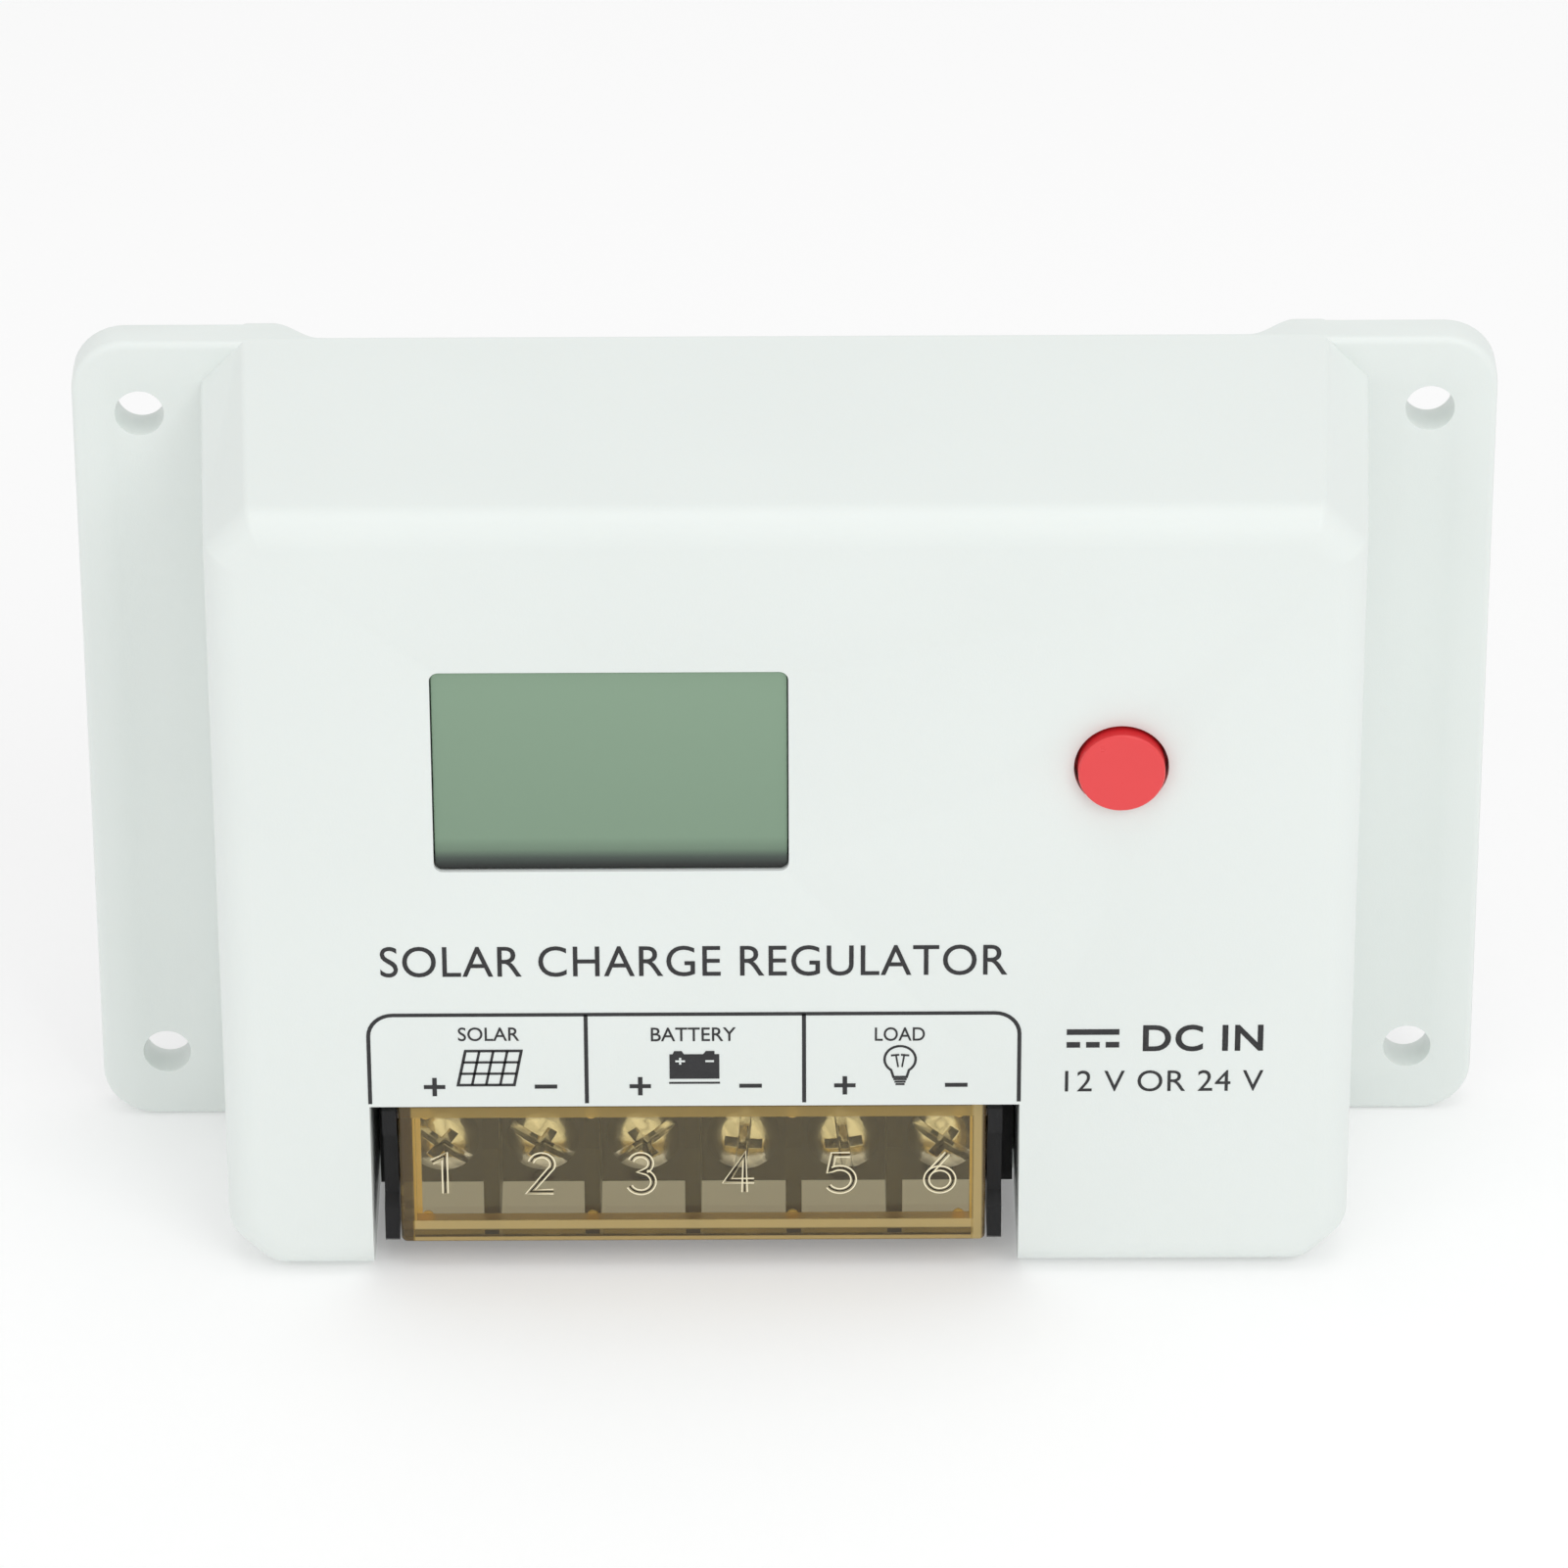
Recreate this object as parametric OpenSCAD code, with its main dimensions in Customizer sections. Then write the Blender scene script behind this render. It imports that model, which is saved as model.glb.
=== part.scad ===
// Wall-mounted solar charge controller.
// A moulded shell with a mounting flange on each side carries a display, one push button
// and a six-way barrier terminal block under a hinged cover. An aluminium plate closes the
// back and cools four power transistors.
// Every module draws its piece on the bench: x is to the right, y is up the front panel and
// z is the distance from the wall. upright() then stands it up, so the wall plane is y = 0,
// the front panel faces -Y and the top is +Z. The origin is the centre of the hole pattern.

/* [Housing] */
// Width over both mounting flanges
overall_w = 132.5; // [128:0.5:140]
// Height of the housing and its flanges
overall_h = 84.6; // [84:0.2:88]
// Width of the body where it meets the flanges
body_w = 108.4; // [108:0.2:110]
// Distance from the wall to the front panel
body_d = 32.6; // [32.6:0.2:34]
// Shell wall thickness
wall = 2.2; // [1.8:0.1:2.4]
// Length of the 45 degree cut on the four body corners
corner_cut = 4; // [3:0.5:5]
// Radius between the front panel and the side walls
front_r = 3.4; // [2.5:0.1:3.6]
// Inward lean of the top wall over its depth
top_draft = 3.0; // [1:0.2:3.4]
// Inward lean of each side wall over its depth
side_draft = 1.4; // [0.6:0.2:2]

/* [Mounting] */
// Thickness of the mounting flanges
flange_t = 4; // [3.5:0.1:4]
// Corner radius of the flanges
flange_r = 5.0; // [3:0.5:6]
// Horizontal distance between mounting holes
hole_dx = 120; // [119.6:0.2:120.4]
// Vertical distance between mounting holes
hole_dy = 70; // [66:0.5:72]
// Radius of the mounting holes
hole_r = 2.3; // [2.1:0.05:2.6]
// Depth of the air gap behind the back plate
air_gap = 3; // [2.4:0.1:3]

/* [Front panel] */
// Width of the display window
window_w = 32.7; // [31:0.1:33]
// Height of the display window
window_h = 21.1; // [20:0.1:22]
// Radius of the button hole
button_hole_r = 4.35; // [4.3:0.05:4.6]
// How far the button stands out of the panel
button_proud = 1.2; // [0.8:0.1:2]

/* [Terminal block] */
// Distance between neighbouring terminals
pitch = 9.5; // [9.4:0.05:9.6]
// Thickness of the barriers between terminals
rib_t = 1.5; // [1.2:0.1:1.6]
// Radius of the terminal screw heads
head_r = 3.4; // [3:0.1:3.6]
// Radius of the terminal screw shanks
shank_r = 1.45; // [1.3:0.05:1.5]

/* [Hidden] */
$fn = 48;

eps = 0.01;
fit_gap = 0.05;            // radial gap between a shaft or screw and its hole

// Shell
half_w = body_w / 2;
half_h = overall_h / 2;
bottom_draft = 0.2;
bevel_steps = 6;
panel_z = body_d - wall;   // inner face of the front panel
pad_inner_x = 45.3;       // where the flange pads end behind the body
pad_blend = 2.3;           // half width of the curve between pad and air gap
blend_steps = 12;

// Depth stations, measured from the wall
plate_t = 1.5;
plate_z = air_gap;
plate_front = plate_z + plate_t;
pad_t = 0.3;
board_t = 1.6;
board_z = 12.9;
board_front = board_z + board_t;
display_board_z = 21.3;
display_board_front = display_board_z + board_t;
lcd_back_z = display_board_front + 3;
lcd_front_z = lcd_back_z + 2.6;

// Front panel features
window_x = -16.15;
window_y = 12.85;
window_r = 0.9;
lens_gap = 0.12;
lens_front = body_d - 0.3;
button_x = 30.65;
button_y = 13.2;
cap_r = button_hole_r - 0.35;
cap_flange_r = button_hole_r + 0.8;
cap_flange_t = 1;
cap_wall = 1.1;
cap_top = body_d + button_proud;
switch_top = display_board_front + 3.5;
plunger_r = 1.75;
plunger_top = panel_z - 0.2 - cap_flange_t + 0.9;

// Terminal block
ways = 6;
block_x = -8.95;
block_half = ways * pitch / 2 + 0.6;
block_bottom = -39.8;
block_top = -25;
base_t = 5.5;
floor_z = board_front + base_t;
rib_front = body_d - 3;
ear_front = body_d - 1.8;
ear_in = ways * pitch / 2 - rib_t / 2;
screw_y = -32.8;
contact_t = 1;
washer_t = 0.9;
washer_r = 3.1;
head_h = 2.4;
washer_z = floor_z + contact_t;
head_z = washer_z + washer_t;
slot_angles = [-38, -32, 36, 84, 97, -36];

// Terminal cover
cover_half = ear_in - 0.2;
cover_t = 1.2;
cover_front = body_d - 1.4;
cover_back = cover_front - cover_t;
cover_top = -24;
cover_bottom = -39.4;
cover_side_t = 1.2;
cover_side_back = cover_back - 2.4;
cover_edge_r = 0.8;
pivot_y = -25.9;
pivot_z = body_d - 3.3;
pivot_r = 0.7;

// Terminal recess in the shell
recess_left = -39.1;
recess_right = 21.7;
recess_top = -23.3;
recess_wall = 1.5;
recess_back = board_front - 0.25;

// Screw positions
plate_screws = [[-46.5, -34.5], [46.5, -34.5], [-46.5, 34.5], [46.5, 34.5]];
board_screws = [[-46.5, -14], [46.5, -14], [-46.5, 12], [46.5, 12]];
display_screws = [[-34.5, -14], [38.5, -14], [-34.5, 28.4], [38.5, 28.4]];
plate_screw_r = 1.2;
board_screw_r = 1.15;
display_screw_r = 0.9;

// Power stage
mosfet_x = [-33, -17, -1, 15];
mosfet_y = 2;
mosfet_z = plate_front + pad_t;
mosfet_body_t = 4.5;
tab_t = 1.3;
bar_y = mosfet_y - 1;
bar_z = mosfet_z + mosfet_body_t;
bar_screws = [-25, 7];

module upright() rotate([90, 0, 0]) children();

function way_x(i) = block_x + (i - (ways - 1) / 2) * pitch;

// ---------- shared shapes ----------

module peg(x, y, z0, z1, r) translate([x, y, z0]) cylinder(h = z1 - z0, r = r);

module box(x0, x1, y0, y1, z0, z1) translate([x0, y0, z0]) cube([x1 - x0, y1 - y0, z1 - z0]);

// Corner points of one layer of the body at height z: a rectangle with its corners cut at
// 45 degrees, moved in by inset and leaning in by share of the draft
function body_ring(z, share, inset) =
    let (
        side = half_w - side_draft * share - inset,
        top = half_h - top_draft * share - inset,
        bottom = -half_h + bottom_draft * share + inset,
        cut = corner_cut - inset * (2 - sqrt(2))
    ) [
        [-side + cut, top, z], [side - cut, top, z], [side, top - cut, z], [side, bottom + cut, z],
        [side - cut, bottom, z], [-side + cut, bottom, z], [-side, bottom + cut, z], [-side, top - cut, z]
    ];

// Solid through a list of rings, from the wall side to the front
module loft(rings) {
    n = len(rings[0]);
    m = len(rings);
    polyhedron(
        points = [for (ring = rings, p = ring) p],
        faces = concat(
            [[for (i = [n - 1 : -1 : 0]) i]],
            [for (k = [0 : m - 2], i = [0 : n - 1])
                [k * n + i, k * n + (i + 1) % n, (k + 1) * n + (i + 1) % n, (k + 1) * n + i]],
            [[for (i = [0 : n - 1]) (m - 1) * n + i]]
        )
    );
}

// The tapered body, shrunk by inset, with its front edge rounded by radius r
module body_block(inset, z0, front, r, steps) loft(concat(
    [body_ring(z0, 0, inset), body_ring(flange_t, 0, inset)],
    [for (i = [0 : steps])
        body_ring(front - r + r * sin(90 * i / steps), 1, inset + r * (1 - cos(90 * i / steps)))]
));

// Pan head screw pointing towards the panel: head against z, shank of length l
module pan_screw(x, y, z, r, l, head, thick) translate([x, y, z]) difference() {
    union() {
        cylinder(h = l, r = r);
        translate([0, 0, -thick]) rotate_extrude() intersection() {
            translate([0, 0]) square([head, thick]);
            translate([0, head * 1.02]) circle(r = head * 1.43, $fn = 96);
        }
    }
    for (turn = [0, 90]) rotate(turn)
        translate([-head * 0.5, -head * 0.11, -thick - eps]) cube([head, head * 0.22, thick * 0.55]);
}

// ---------- housing ----------

module flange_pads() for (side = [-1, 1]) {
    outer = side * (overall_w / 2 - flange_r);
    linear_extrude(height = flange_t) union() {
        translate([min(side * (pad_inner_x - 6), outer), -half_h])
            square([abs(outer - side * (pad_inner_x - 6)), overall_h]);
        translate([min(outer, outer + side * flange_r), -half_h + flange_r])
            square([flange_r, overall_h - 2 * flange_r]);
        for (up = [-1, 1]) translate([outer, up * (half_h - flange_r)]) circle(r = flange_r);
    }
}

// The shallow notch between the flange pads, which opens the air gap at top and bottom
module air_notch() translate([0, overall_h, 0]) rotate([90, 0, 0])
    linear_extrude(height = 2 * overall_h) polygon(concat(
        [[-pad_inner_x - pad_blend, -1]],
        [for (i = [0 : blend_steps]) let (t = i / blend_steps)
            [-pad_inner_x - pad_blend + 2 * pad_blend * t, air_gap * (1 - cos(180 * t)) / 2]],
        [for (i = [0 : blend_steps]) let (t = i / blend_steps)
            [pad_inner_x - pad_blend + 2 * pad_blend * t, air_gap * (1 + cos(180 * t)) / 2]],
        [[pad_inner_x + pad_blend, -1]]
    ));

module window_cut() translate([window_x, window_y, panel_z - 1])
    linear_extrude(height = wall + 2) union() {
        square([window_w - 2 * window_r, window_h], center = true);
        square([window_w, window_h - 2 * window_r], center = true);
        for (sx = [-1, 1], sy = [-1, 1])
            translate([sx * (window_w / 2 - window_r), sy * (window_h / 2 - window_r)])
                circle(r = window_r);
    }

module boss_posts() {
    for (p = plate_screws) peg(p[0], p[1], plate_front, panel_z + 0.2, 3.1);
    for (p = board_screws) peg(p[0], p[1], board_front, panel_z + 0.2, 2.5);
    for (p = display_screws) peg(p[0], p[1], display_board_front, panel_z + 0.2, 2.2);
}

module boss_bores() {
    for (p = plate_screws) peg(p[0], p[1], plate_front - eps, plate_front + 10, plate_screw_r + fit_gap);
    for (p = board_screws) peg(p[0], p[1], board_front - eps, board_front + 9, board_screw_r + fit_gap);
    for (p = display_screws)
        peg(p[0], p[1], display_board_front - eps, display_board_front + 6, display_screw_r + fit_gap);
}

// Walls that line the terminal recess on both sides and above
module recess_walls() intersection() {
    body_block(wall / 2, flange_t, body_d - wall / 2, front_r - wall / 2, 3);
    union() {
        box(recess_left - recess_wall, recess_left, -half_h, recess_top + recess_wall,
            board_front + 0.4, body_d);
        box(recess_right, recess_right + recess_wall, -half_h, recess_top + recess_wall,
            board_front + 0.4, body_d);
        box(recess_left - recess_wall, recess_right + recess_wall, recess_top, recess_top + recess_wall,
            display_board_z - 2, body_d);
    }
}

module housing() color("whitesmoke") upright() difference() {
    union() {
        difference() {
            union() {
                body_block(0, 0, body_d, front_r, bevel_steps);
                flange_pads();
            }
            body_block(wall, -1, panel_z, front_r - 1.4, 5);
        }
        recess_walls();
        boss_posts();
    }
    air_notch();
    boss_bores();
    window_cut();
    peg(button_x, button_y, panel_z - 1, body_d + 1, button_hole_r);
    box(recess_left, recess_right, -half_h - 1, recess_top, recess_back, body_d + 1);
    for (sx = [-1, 1], sy = [-1, 1]) peg(sx * hole_dx / 2, sy * hole_dy / 2, -1, flange_t + 1, hole_r);
}

// ---------- back plate and power stage ----------

module back_plate() color("silver") upright() difference() {
    union() {
        box(-half_w + wall + 0.4, half_w - wall - 0.4, -half_h + wall + 4.4, half_h - wall - 4.4,
            plate_z, plate_front);
        box(-half_w + wall + 4.4, half_w - wall - 4.4, -half_h + wall + 0.4, half_h - wall - 0.4,
            plate_z, plate_front);
    }
    for (p = plate_screws) peg(p[0], p[1], plate_z - 1, plate_front + 1, 1.7);
    for (x = bar_screws) peg(x, bar_y, plate_z - 1, plate_front + 1, 1.5);
}

module back_plate_screws() color("dimgray") upright()
    for (p = plate_screws) pan_screw(p[0], p[1], plate_z, plate_screw_r, 10, 2.8, 1.7);

module thermal_pad() color("lightgray") upright() difference() {
    box(mosfet_x[0] - 7, mosfet_x[3] + 7, mosfet_y - 6, mosfet_y + 13, plate_front, mosfet_z);
    for (x = bar_screws) peg(x, bar_y, plate_front - 1, mosfet_z + 1, 2);
}

module mosfet_bodies() color("black") upright() for (x = mosfet_x)
    translate([x, mosfet_y, mosfet_z]) difference() {
        box(-5, 5, -4.5, 4.5, 0, mosfet_body_t);
        box(-6, 6, -6, 6, -1, tab_t);
        for (i = [-1 : 1]) box(i * 2.54 - 0.45, i * 2.54 + 0.45, -5, -2, 2.1, 2.8);
    }

module mosfet_tabs() color("gainsboro") upright() for (x = mosfet_x)
    translate([x, mosfet_y, mosfet_z]) union() {
        difference() {
            box(-5, 5, -4.4, 10.5, 0, tab_t);
            peg(0, 7.6, -1, 2, 1.8);
        }
        for (i = [-1 : 1]) {
            box(i * 2.54 - 0.4, i * 2.54 + 0.4, -10, -2.05, 2.15, 2.75);
            box(i * 2.54 - 0.4, i * 2.54 + 0.4, -10, -9.4, 2.15, board_front + 1 - mosfet_z);
        }
    }

module mosfet_clamp_bar() color("slategray") upright() difference() {
    box(mosfet_x[0] - 6, mosfet_x[3] + 6, bar_y - 3, bar_y + 3, bar_z, bar_z + 1.2);
    for (x = bar_screws) peg(x, bar_y, bar_z - 1, bar_z + 2, 1.6);
}

module clamp_bar_screws() color("silver") upright() for (x = bar_screws)
    translate([x, bar_y, bar_z + 1.2]) mirror([0, 0, 1]) pan_screw(0, 0, 0, 1.4, bar_z + 1.2 - plate_z - 0.1, 2.7, 1.6);

// ---------- boards ----------

module board_corner_cuts(x, y, side) for (sx = [-1, 1], sy = [-1, 1])
    translate([sx * x, sy * y, 0]) cube([side, side, 100], center = true);

module main_board() color("darkgreen") upright() difference() {
    box(-50.2, 50.2, -39.4, 38.2, board_z, board_front);
    board_corner_cuts(48, 37, 13);
    for (p = board_screws) peg(p[0], p[1], board_z - 1, board_front + 1, 1.4);
    for (i = [0 : ways - 1]) peg(way_x(i), block_top - 2, board_z - 1, board_front + 1, 0.9);
    for (x = mosfet_x, i = [-1 : 1])
        peg(x + i * 2.54, mosfet_y - 9.7, board_z - 1, board_front + 1, 0.6);
}

module main_board_screws() color("silver") upright()
    for (p = board_screws) pan_screw(p[0], p[1], board_z, board_screw_r, 9, 2.5, 1.5);

module display_board() color("darkgreen") upright() difference() {
    box(-38, 42, -17.6, 31.8, display_board_z, display_board_front);
    for (p = display_screws) peg(p[0], p[1], display_board_z - 1, display_board_front + 1, 1.1);
    for (i = [0 : 11]) peg(lcd_pin_x(i), lcd_bottom - 0.25, display_board_z - 1, display_board_front + 1, 0.45);
}

module display_board_screws() color("silver") upright()
    for (p = display_screws) pan_screw(p[0], p[1], display_board_z, display_screw_r, 6.5, 1.9, 1.2);

lcd_left = window_x - window_w / 2 - 2;
lcd_right = window_x + window_w / 2 + 2;
lcd_bottom = window_y - window_h / 2 - 2.2;
lcd_top = window_y + window_h / 2 + 2;
function lcd_pin_x(i) = window_x + (i - 5.5) * 2.54;

module lcd_panel() color("darkseagreen") upright() union() {
    box(lcd_left, lcd_right, lcd_bottom, lcd_top, lcd_back_z, lcd_back_z + 1.3);
    box(lcd_left + 0.4, lcd_right - 0.4, lcd_bottom + 0.3, lcd_top - 1.4, lcd_back_z + 1.3, lcd_front_z);
}

// Clear window that fills the opening in the panel, with a rim behind it
module display_lens() color("darkseagreen") upright() translate([window_x, window_y, 0]) union() {
    box(-window_w / 2 - 1, window_w / 2 + 1, -window_h / 2 - 1, window_h / 2 + 1,
        lcd_front_z + 0.9, panel_z - 0.05);
    for (sx = [-1, 1], sy = [-1, 1])
        peg(sx * (window_w / 2 - window_r), sy * (window_h / 2 - window_r), panel_z - 0.1,
            lens_front, window_r - lens_gap);
    box(-window_w / 2 + window_r, window_w / 2 - window_r, -window_h / 2 + lens_gap,
        window_h / 2 - lens_gap, panel_z - 0.1, lens_front);
    box(-window_w / 2 + lens_gap, window_w / 2 - lens_gap, -window_h / 2 + window_r,
        window_h / 2 - window_r, panel_z - 0.1, lens_front);
}

module lcd_backlight() color("white") upright()
    box(lcd_left + 0.6, lcd_right - 0.6, lcd_bottom + 0.4, lcd_top - 0.4, display_board_front, lcd_back_z);

module lcd_pins() color("silver") upright() for (i = [0 : 11])
    box(lcd_pin_x(i) - 0.25, lcd_pin_x(i) + 0.25, lcd_bottom - 0.4, lcd_bottom - 0.05,
        display_board_z - 0.8, lcd_back_z + 0.8);

module header_socket() color("black") upright() difference() {
    box(-30.4, -10.08, -14.27, -11.73, board_front + 2.6, display_board_z);
    for (i = [0 : 7]) translate([-29.13 + i * 2.54, -13, board_front + 2]) cube([0.8, 0.8, 9], center = true);
}

module header_pins() color("black") upright() union() {
    box(-30.4, -10.08, -14.27, -11.73, board_front, board_front + 2.5);
    for (i = [0 : 7])
        box(-29.45 + i * 2.54, -28.81 + i * 2.54, -13.32, -12.68, board_front + 2.4, board_front + 6);
}

module switch_body() color("dimgray") upright() translate([button_x, button_y, 0]) difference() {
    box(-3.1, 3.1, -3.1, 3.1, display_board_front, switch_top);
    peg(0, 0, switch_top - 2.2, switch_top + 1, plunger_r + fit_gap);
}

module switch_plunger() color("black") upright()
    peg(button_x, button_y, switch_top - 1.4, plunger_top, plunger_r);

// Hollow round cap: a retaining flange behind the panel and a post that rests on the switch
module button_cap() color("crimson") upright() translate([button_x, button_y, 0]) rotate_extrude() union() {
    difference() {
        union() {
            translate([0, panel_z - 0.2 - cap_flange_t]) square([cap_flange_r, cap_flange_t]);
            translate([0, panel_z - 0.4]) square([cap_r, cap_top - panel_z + 0.4 - 0.5]);
            translate([0, cap_top - 0.6]) square([cap_r - 0.5, 0.6]);
            translate([cap_r - 0.5, cap_top - 0.5]) circle(r = 0.5);
        }
        translate([-1, panel_z - 2]) square([cap_r - cap_wall + 1, cap_top - panel_z + 2 - cap_wall]);
        translate([-1, panel_z - 3]) square([1, 10]);
    }
    translate([0, plunger_top + 0.02]) square([1.4, cap_top - cap_wall - plunger_top + 0.2]);
}

// ---------- terminal block ----------

// Side profile of an end wall: hinge lobe at the top, waist, and a foot at the bottom
module ear_profile() polygon([
    [floor_z - 1, block_bottom], [ear_front - 0.8, block_bottom],
    [ear_front - 0.4, block_bottom + 0.4], [ear_front - 0.4, block_bottom + 3.8],
    [ear_front - 1.6, block_bottom + 4.8], [ear_front - 1.6, block_top - 3.4],
    [ear_front, block_top - 2.6], [ear_front, block_top + 0.1],
    [ear_front - 0.5, block_top + 0.6], [floor_z - 1, block_top + 0.6]
]);

// Side profile of a barrier, with its upper front corner cut clear of the cover
module rib_profile() polygon([
    [floor_z - 1, block_bottom], [rib_front - 0.6, block_bottom],
    [rib_front, block_bottom + 0.6], [rib_front, pivot_y - 4],
    [rib_front - 4, pivot_y + 0.4], [floor_z - 1, pivot_y + 0.4]
]);

// Lays a z, y profile out across the block, centred on x with thickness t
module across(x, t) translate([x + t / 2, 0, 0]) rotate([0, -90, 0]) linear_extrude(height = t) children();

module terminal_body() color("black") upright() difference() {
    union() {
        box(recess_left + 0.25, recess_right - 0.25, block_bottom, block_top, board_front, floor_z);
        box(block_x - block_half, block_x + block_half, block_top - 1.2, block_top, floor_z - eps, floor_z + 3);
        for (side = [-1, 1])
            across(block_x + side * (ear_in + block_half) / 2, block_half - ear_in) ear_profile();
        for (i = [1 : ways - 1]) across(way_x(i) - pitch / 2, rib_t) rib_profile();
    }
    for (i = [0 : ways - 1]) {
        peg(way_x(i), screw_y, board_front + 0.3, floor_z + 1, 2.1);
        box(way_x(i) - 0.65, way_x(i) + 0.65, block_top - 2.65, block_top - 1.35, board_front - 1, floor_z + 1);
    }
    peg_x(block_x - block_half - 1, block_x + block_half + 1, pivot_r + fit_gap);
}

// Cylinder along x on the cover's hinge line
module peg_x(x0, x1, r) translate([x0, pivot_y, pivot_z]) rotate([0, 90, 0]) cylinder(h = x1 - x0, r = r);

module terminal_contacts() color("silver") upright() for (i = [0 : ways - 1]) translate([way_x(i), 0, 0])
    difference() {
        union() {
            box(-2.6, 2.6, screw_y - 2.9, block_top - 1.3, floor_z, floor_z + contact_t);
            box(-0.55, 0.55, block_top - 2.55, block_top - 1.45, board_z - 1, floor_z + eps);
        }
        peg(0, screw_y, floor_z - 1, floor_z + 2, shank_r + fit_gap);
    }

module clamp_washer(i) color("silver") upright()
    translate([way_x(i), screw_y, washer_z]) difference() {
        peg(0, 0, 0, washer_t, washer_r);
        peg(0, 0, -1, washer_t + 1, shank_r + fit_gap);
    }

// Domed combination-drive screw: a slot right across the head and a cross recess
module terminal_screw(i) color("silver") upright()
    translate([way_x(i), screw_y, head_z]) rotate(slot_angles[i]) difference() {
        union() {
            translate([0, 0, -head_z + board_front + 0.6]) cylinder(h = head_z - board_front - 0.5, r = shank_r);
            rotate_extrude() intersection() {
                square([head_r, head_h]);
                translate([0, -head_r * 2.6]) circle(r = head_h + head_r * 2.6, $fn = 96);
            }
        }
        translate([-head_r - 1, -0.5, head_h - 0.9]) cube([2 * head_r + 2, 1, 2]);
        for (turn = [0, 90]) rotate(turn) translate([-1.9, -0.45, head_h - 1.5]) cube([3.8, 0.9, 2]);
    }

// Transparent tray: front plate, two side walls, a short top wall and a notched bottom lip
module cover_profile() union() {
    translate([cover_back - 1.7, cover_top - 1.1]) square([2.4, 1.1]);
    translate([cover_back, cover_bottom + cover_edge_r])
        square([cover_t, cover_top - cover_bottom - 2 * cover_edge_r]);
    translate([cover_back, cover_bottom]) square([cover_t - cover_edge_r, cover_top - cover_bottom]);
    for (y = [cover_bottom + cover_edge_r, cover_top - cover_edge_r])
        translate([cover_front - cover_edge_r, y]) circle(r = cover_edge_r);
    translate([cover_back - 1.3, cover_bottom]) square([2, 0.9]);
}

module cover_side_profile() polygon([
    [cover_back - 0.01 + 0.6, cover_bottom + 0.3], [cover_side_back + 0.8, cover_bottom + 0.3],
    [cover_side_back, cover_bottom + 1.1], [cover_side_back, pivot_y - 1.2],
    [cover_side_back + 1.4, cover_top - 0.5], [cover_back + 0.6, cover_top - 0.5]
]);

module terminal_cover() color("goldenrod", 0.6) upright() difference() {
    union() {
        across(block_x, 2 * cover_half) cover_profile();
        for (side = [-1, 1]) across(block_x + side * (cover_half - cover_side_t / 2), cover_side_t)
            cover_side_profile();
        peg_x(block_x - ear_in - 1.6, block_x - cover_half + 0.5, pivot_r);
        peg_x(block_x + cover_half - 0.5, block_x + ear_in + 1.6, pivot_r);
    }
    for (i = [1 : ways - 1]) box(way_x(i) - pitch / 2 - rib_t / 2 - 0.3, way_x(i) - pitch / 2 + rib_t / 2 + 0.3,
        cover_bottom - 1, cover_bottom + 2, cover_back - 3, cover_back - 0.1);
}

// ---------- parts on the main board ----------

cap_spots = [[31.5, -29], [43, -27]];
can_r = 5;
can_h = 13.5;

module capacitors() color("silver") upright() for (p = cap_spots) translate([p[0], p[1], board_front])
    difference() {
        peg(0, 0, 0, can_h, can_r - 0.3);
        for (turn = [0, 90]) rotate(turn) translate([-3.5, -0.15, can_h - 0.25]) cube([7, 0.3, 1]);
    }

module capacitor_sleeves() color("darkslateblue") upright() for (p = cap_spots)
    translate([p[0], p[1], board_front]) difference() {
        peg(0, 0, 0.2, can_h + 0.1, can_r);
        peg(0, 0, -1, can_h + 1, can_r - 0.28);
    }

module surge_diodes() color("black") upright() for (x = [-20, 2]) translate([x, -19.3, board_front + 2.7])
    rotate([0, 90, 0]) union() {
        translate([0, 0, -4.6]) cylinder(h = 9.2, r = 2.6);
        translate([0, 0, -6.8]) cylinder(h = 13.6, r = 0.6);
    }

module shunt_resistor() color("peru") upright() for (x = [-36, -33]) translate([x, -19, board_front]) union() {
    box(-0.6, 0.6, -4, -2.8, 0, 4.5);
    box(-0.6, 0.6, 2.8, 4, 0, 4.5);
    box(-0.6, 0.6, -4, 4, 3.5, 4.7);
}

module microcontroller() color("black") upright() translate([16, 16, board_front]) union() {
    box(-3.5, 3.5, -3.5, 3.5, 0.1, 1.5);
    for (turn = [0 : 90 : 270], i = [-3.5 : 3.5]) rotate(turn) {
        box(i * 0.8 - 0.18, i * 0.8 + 0.18, 3.4, 3.95, 0.6, 0.8);
        box(i * 0.8 - 0.18, i * 0.8 + 0.18, 3.8, 4.5, 0, 0.8);
    }
}

module driver_chips() color("black") upright() for (x = [-8, 4]) translate([x, -3, board_front]) union() {
    box(-2.45, 2.45, -1.95, 1.95, 0.1, 1.6);
    for (side = [-1, 1], i = [-1.5 : 1.5]) scale([1, side, 1]) {
        box(i * 1.27 - 0.2, i * 1.27 + 0.2, 1.85, 2.5, 0.6, 0.8);
        box(i * 1.27 - 0.2, i * 1.27 + 0.2, 2.3, 3, 0, 0.8);
    }
}

module crystal() color("silver") upright() translate([26, 16, board_front]) union() {
    for (x = [-3.2, 3.2]) peg(x, 0, 0, 3.4, 2.1);
    box(-3.2, 3.2, -2.1, 2.1, 0, 3.4);
}

module chip_components() color("tan") upright() for (row = [0 : 2], i = [0 : 7])
    translate([-30 + i * 5, 12 + row * 6, board_front]) box(-1, 1, -0.6, 0.6, 0, 0.55);

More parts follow.
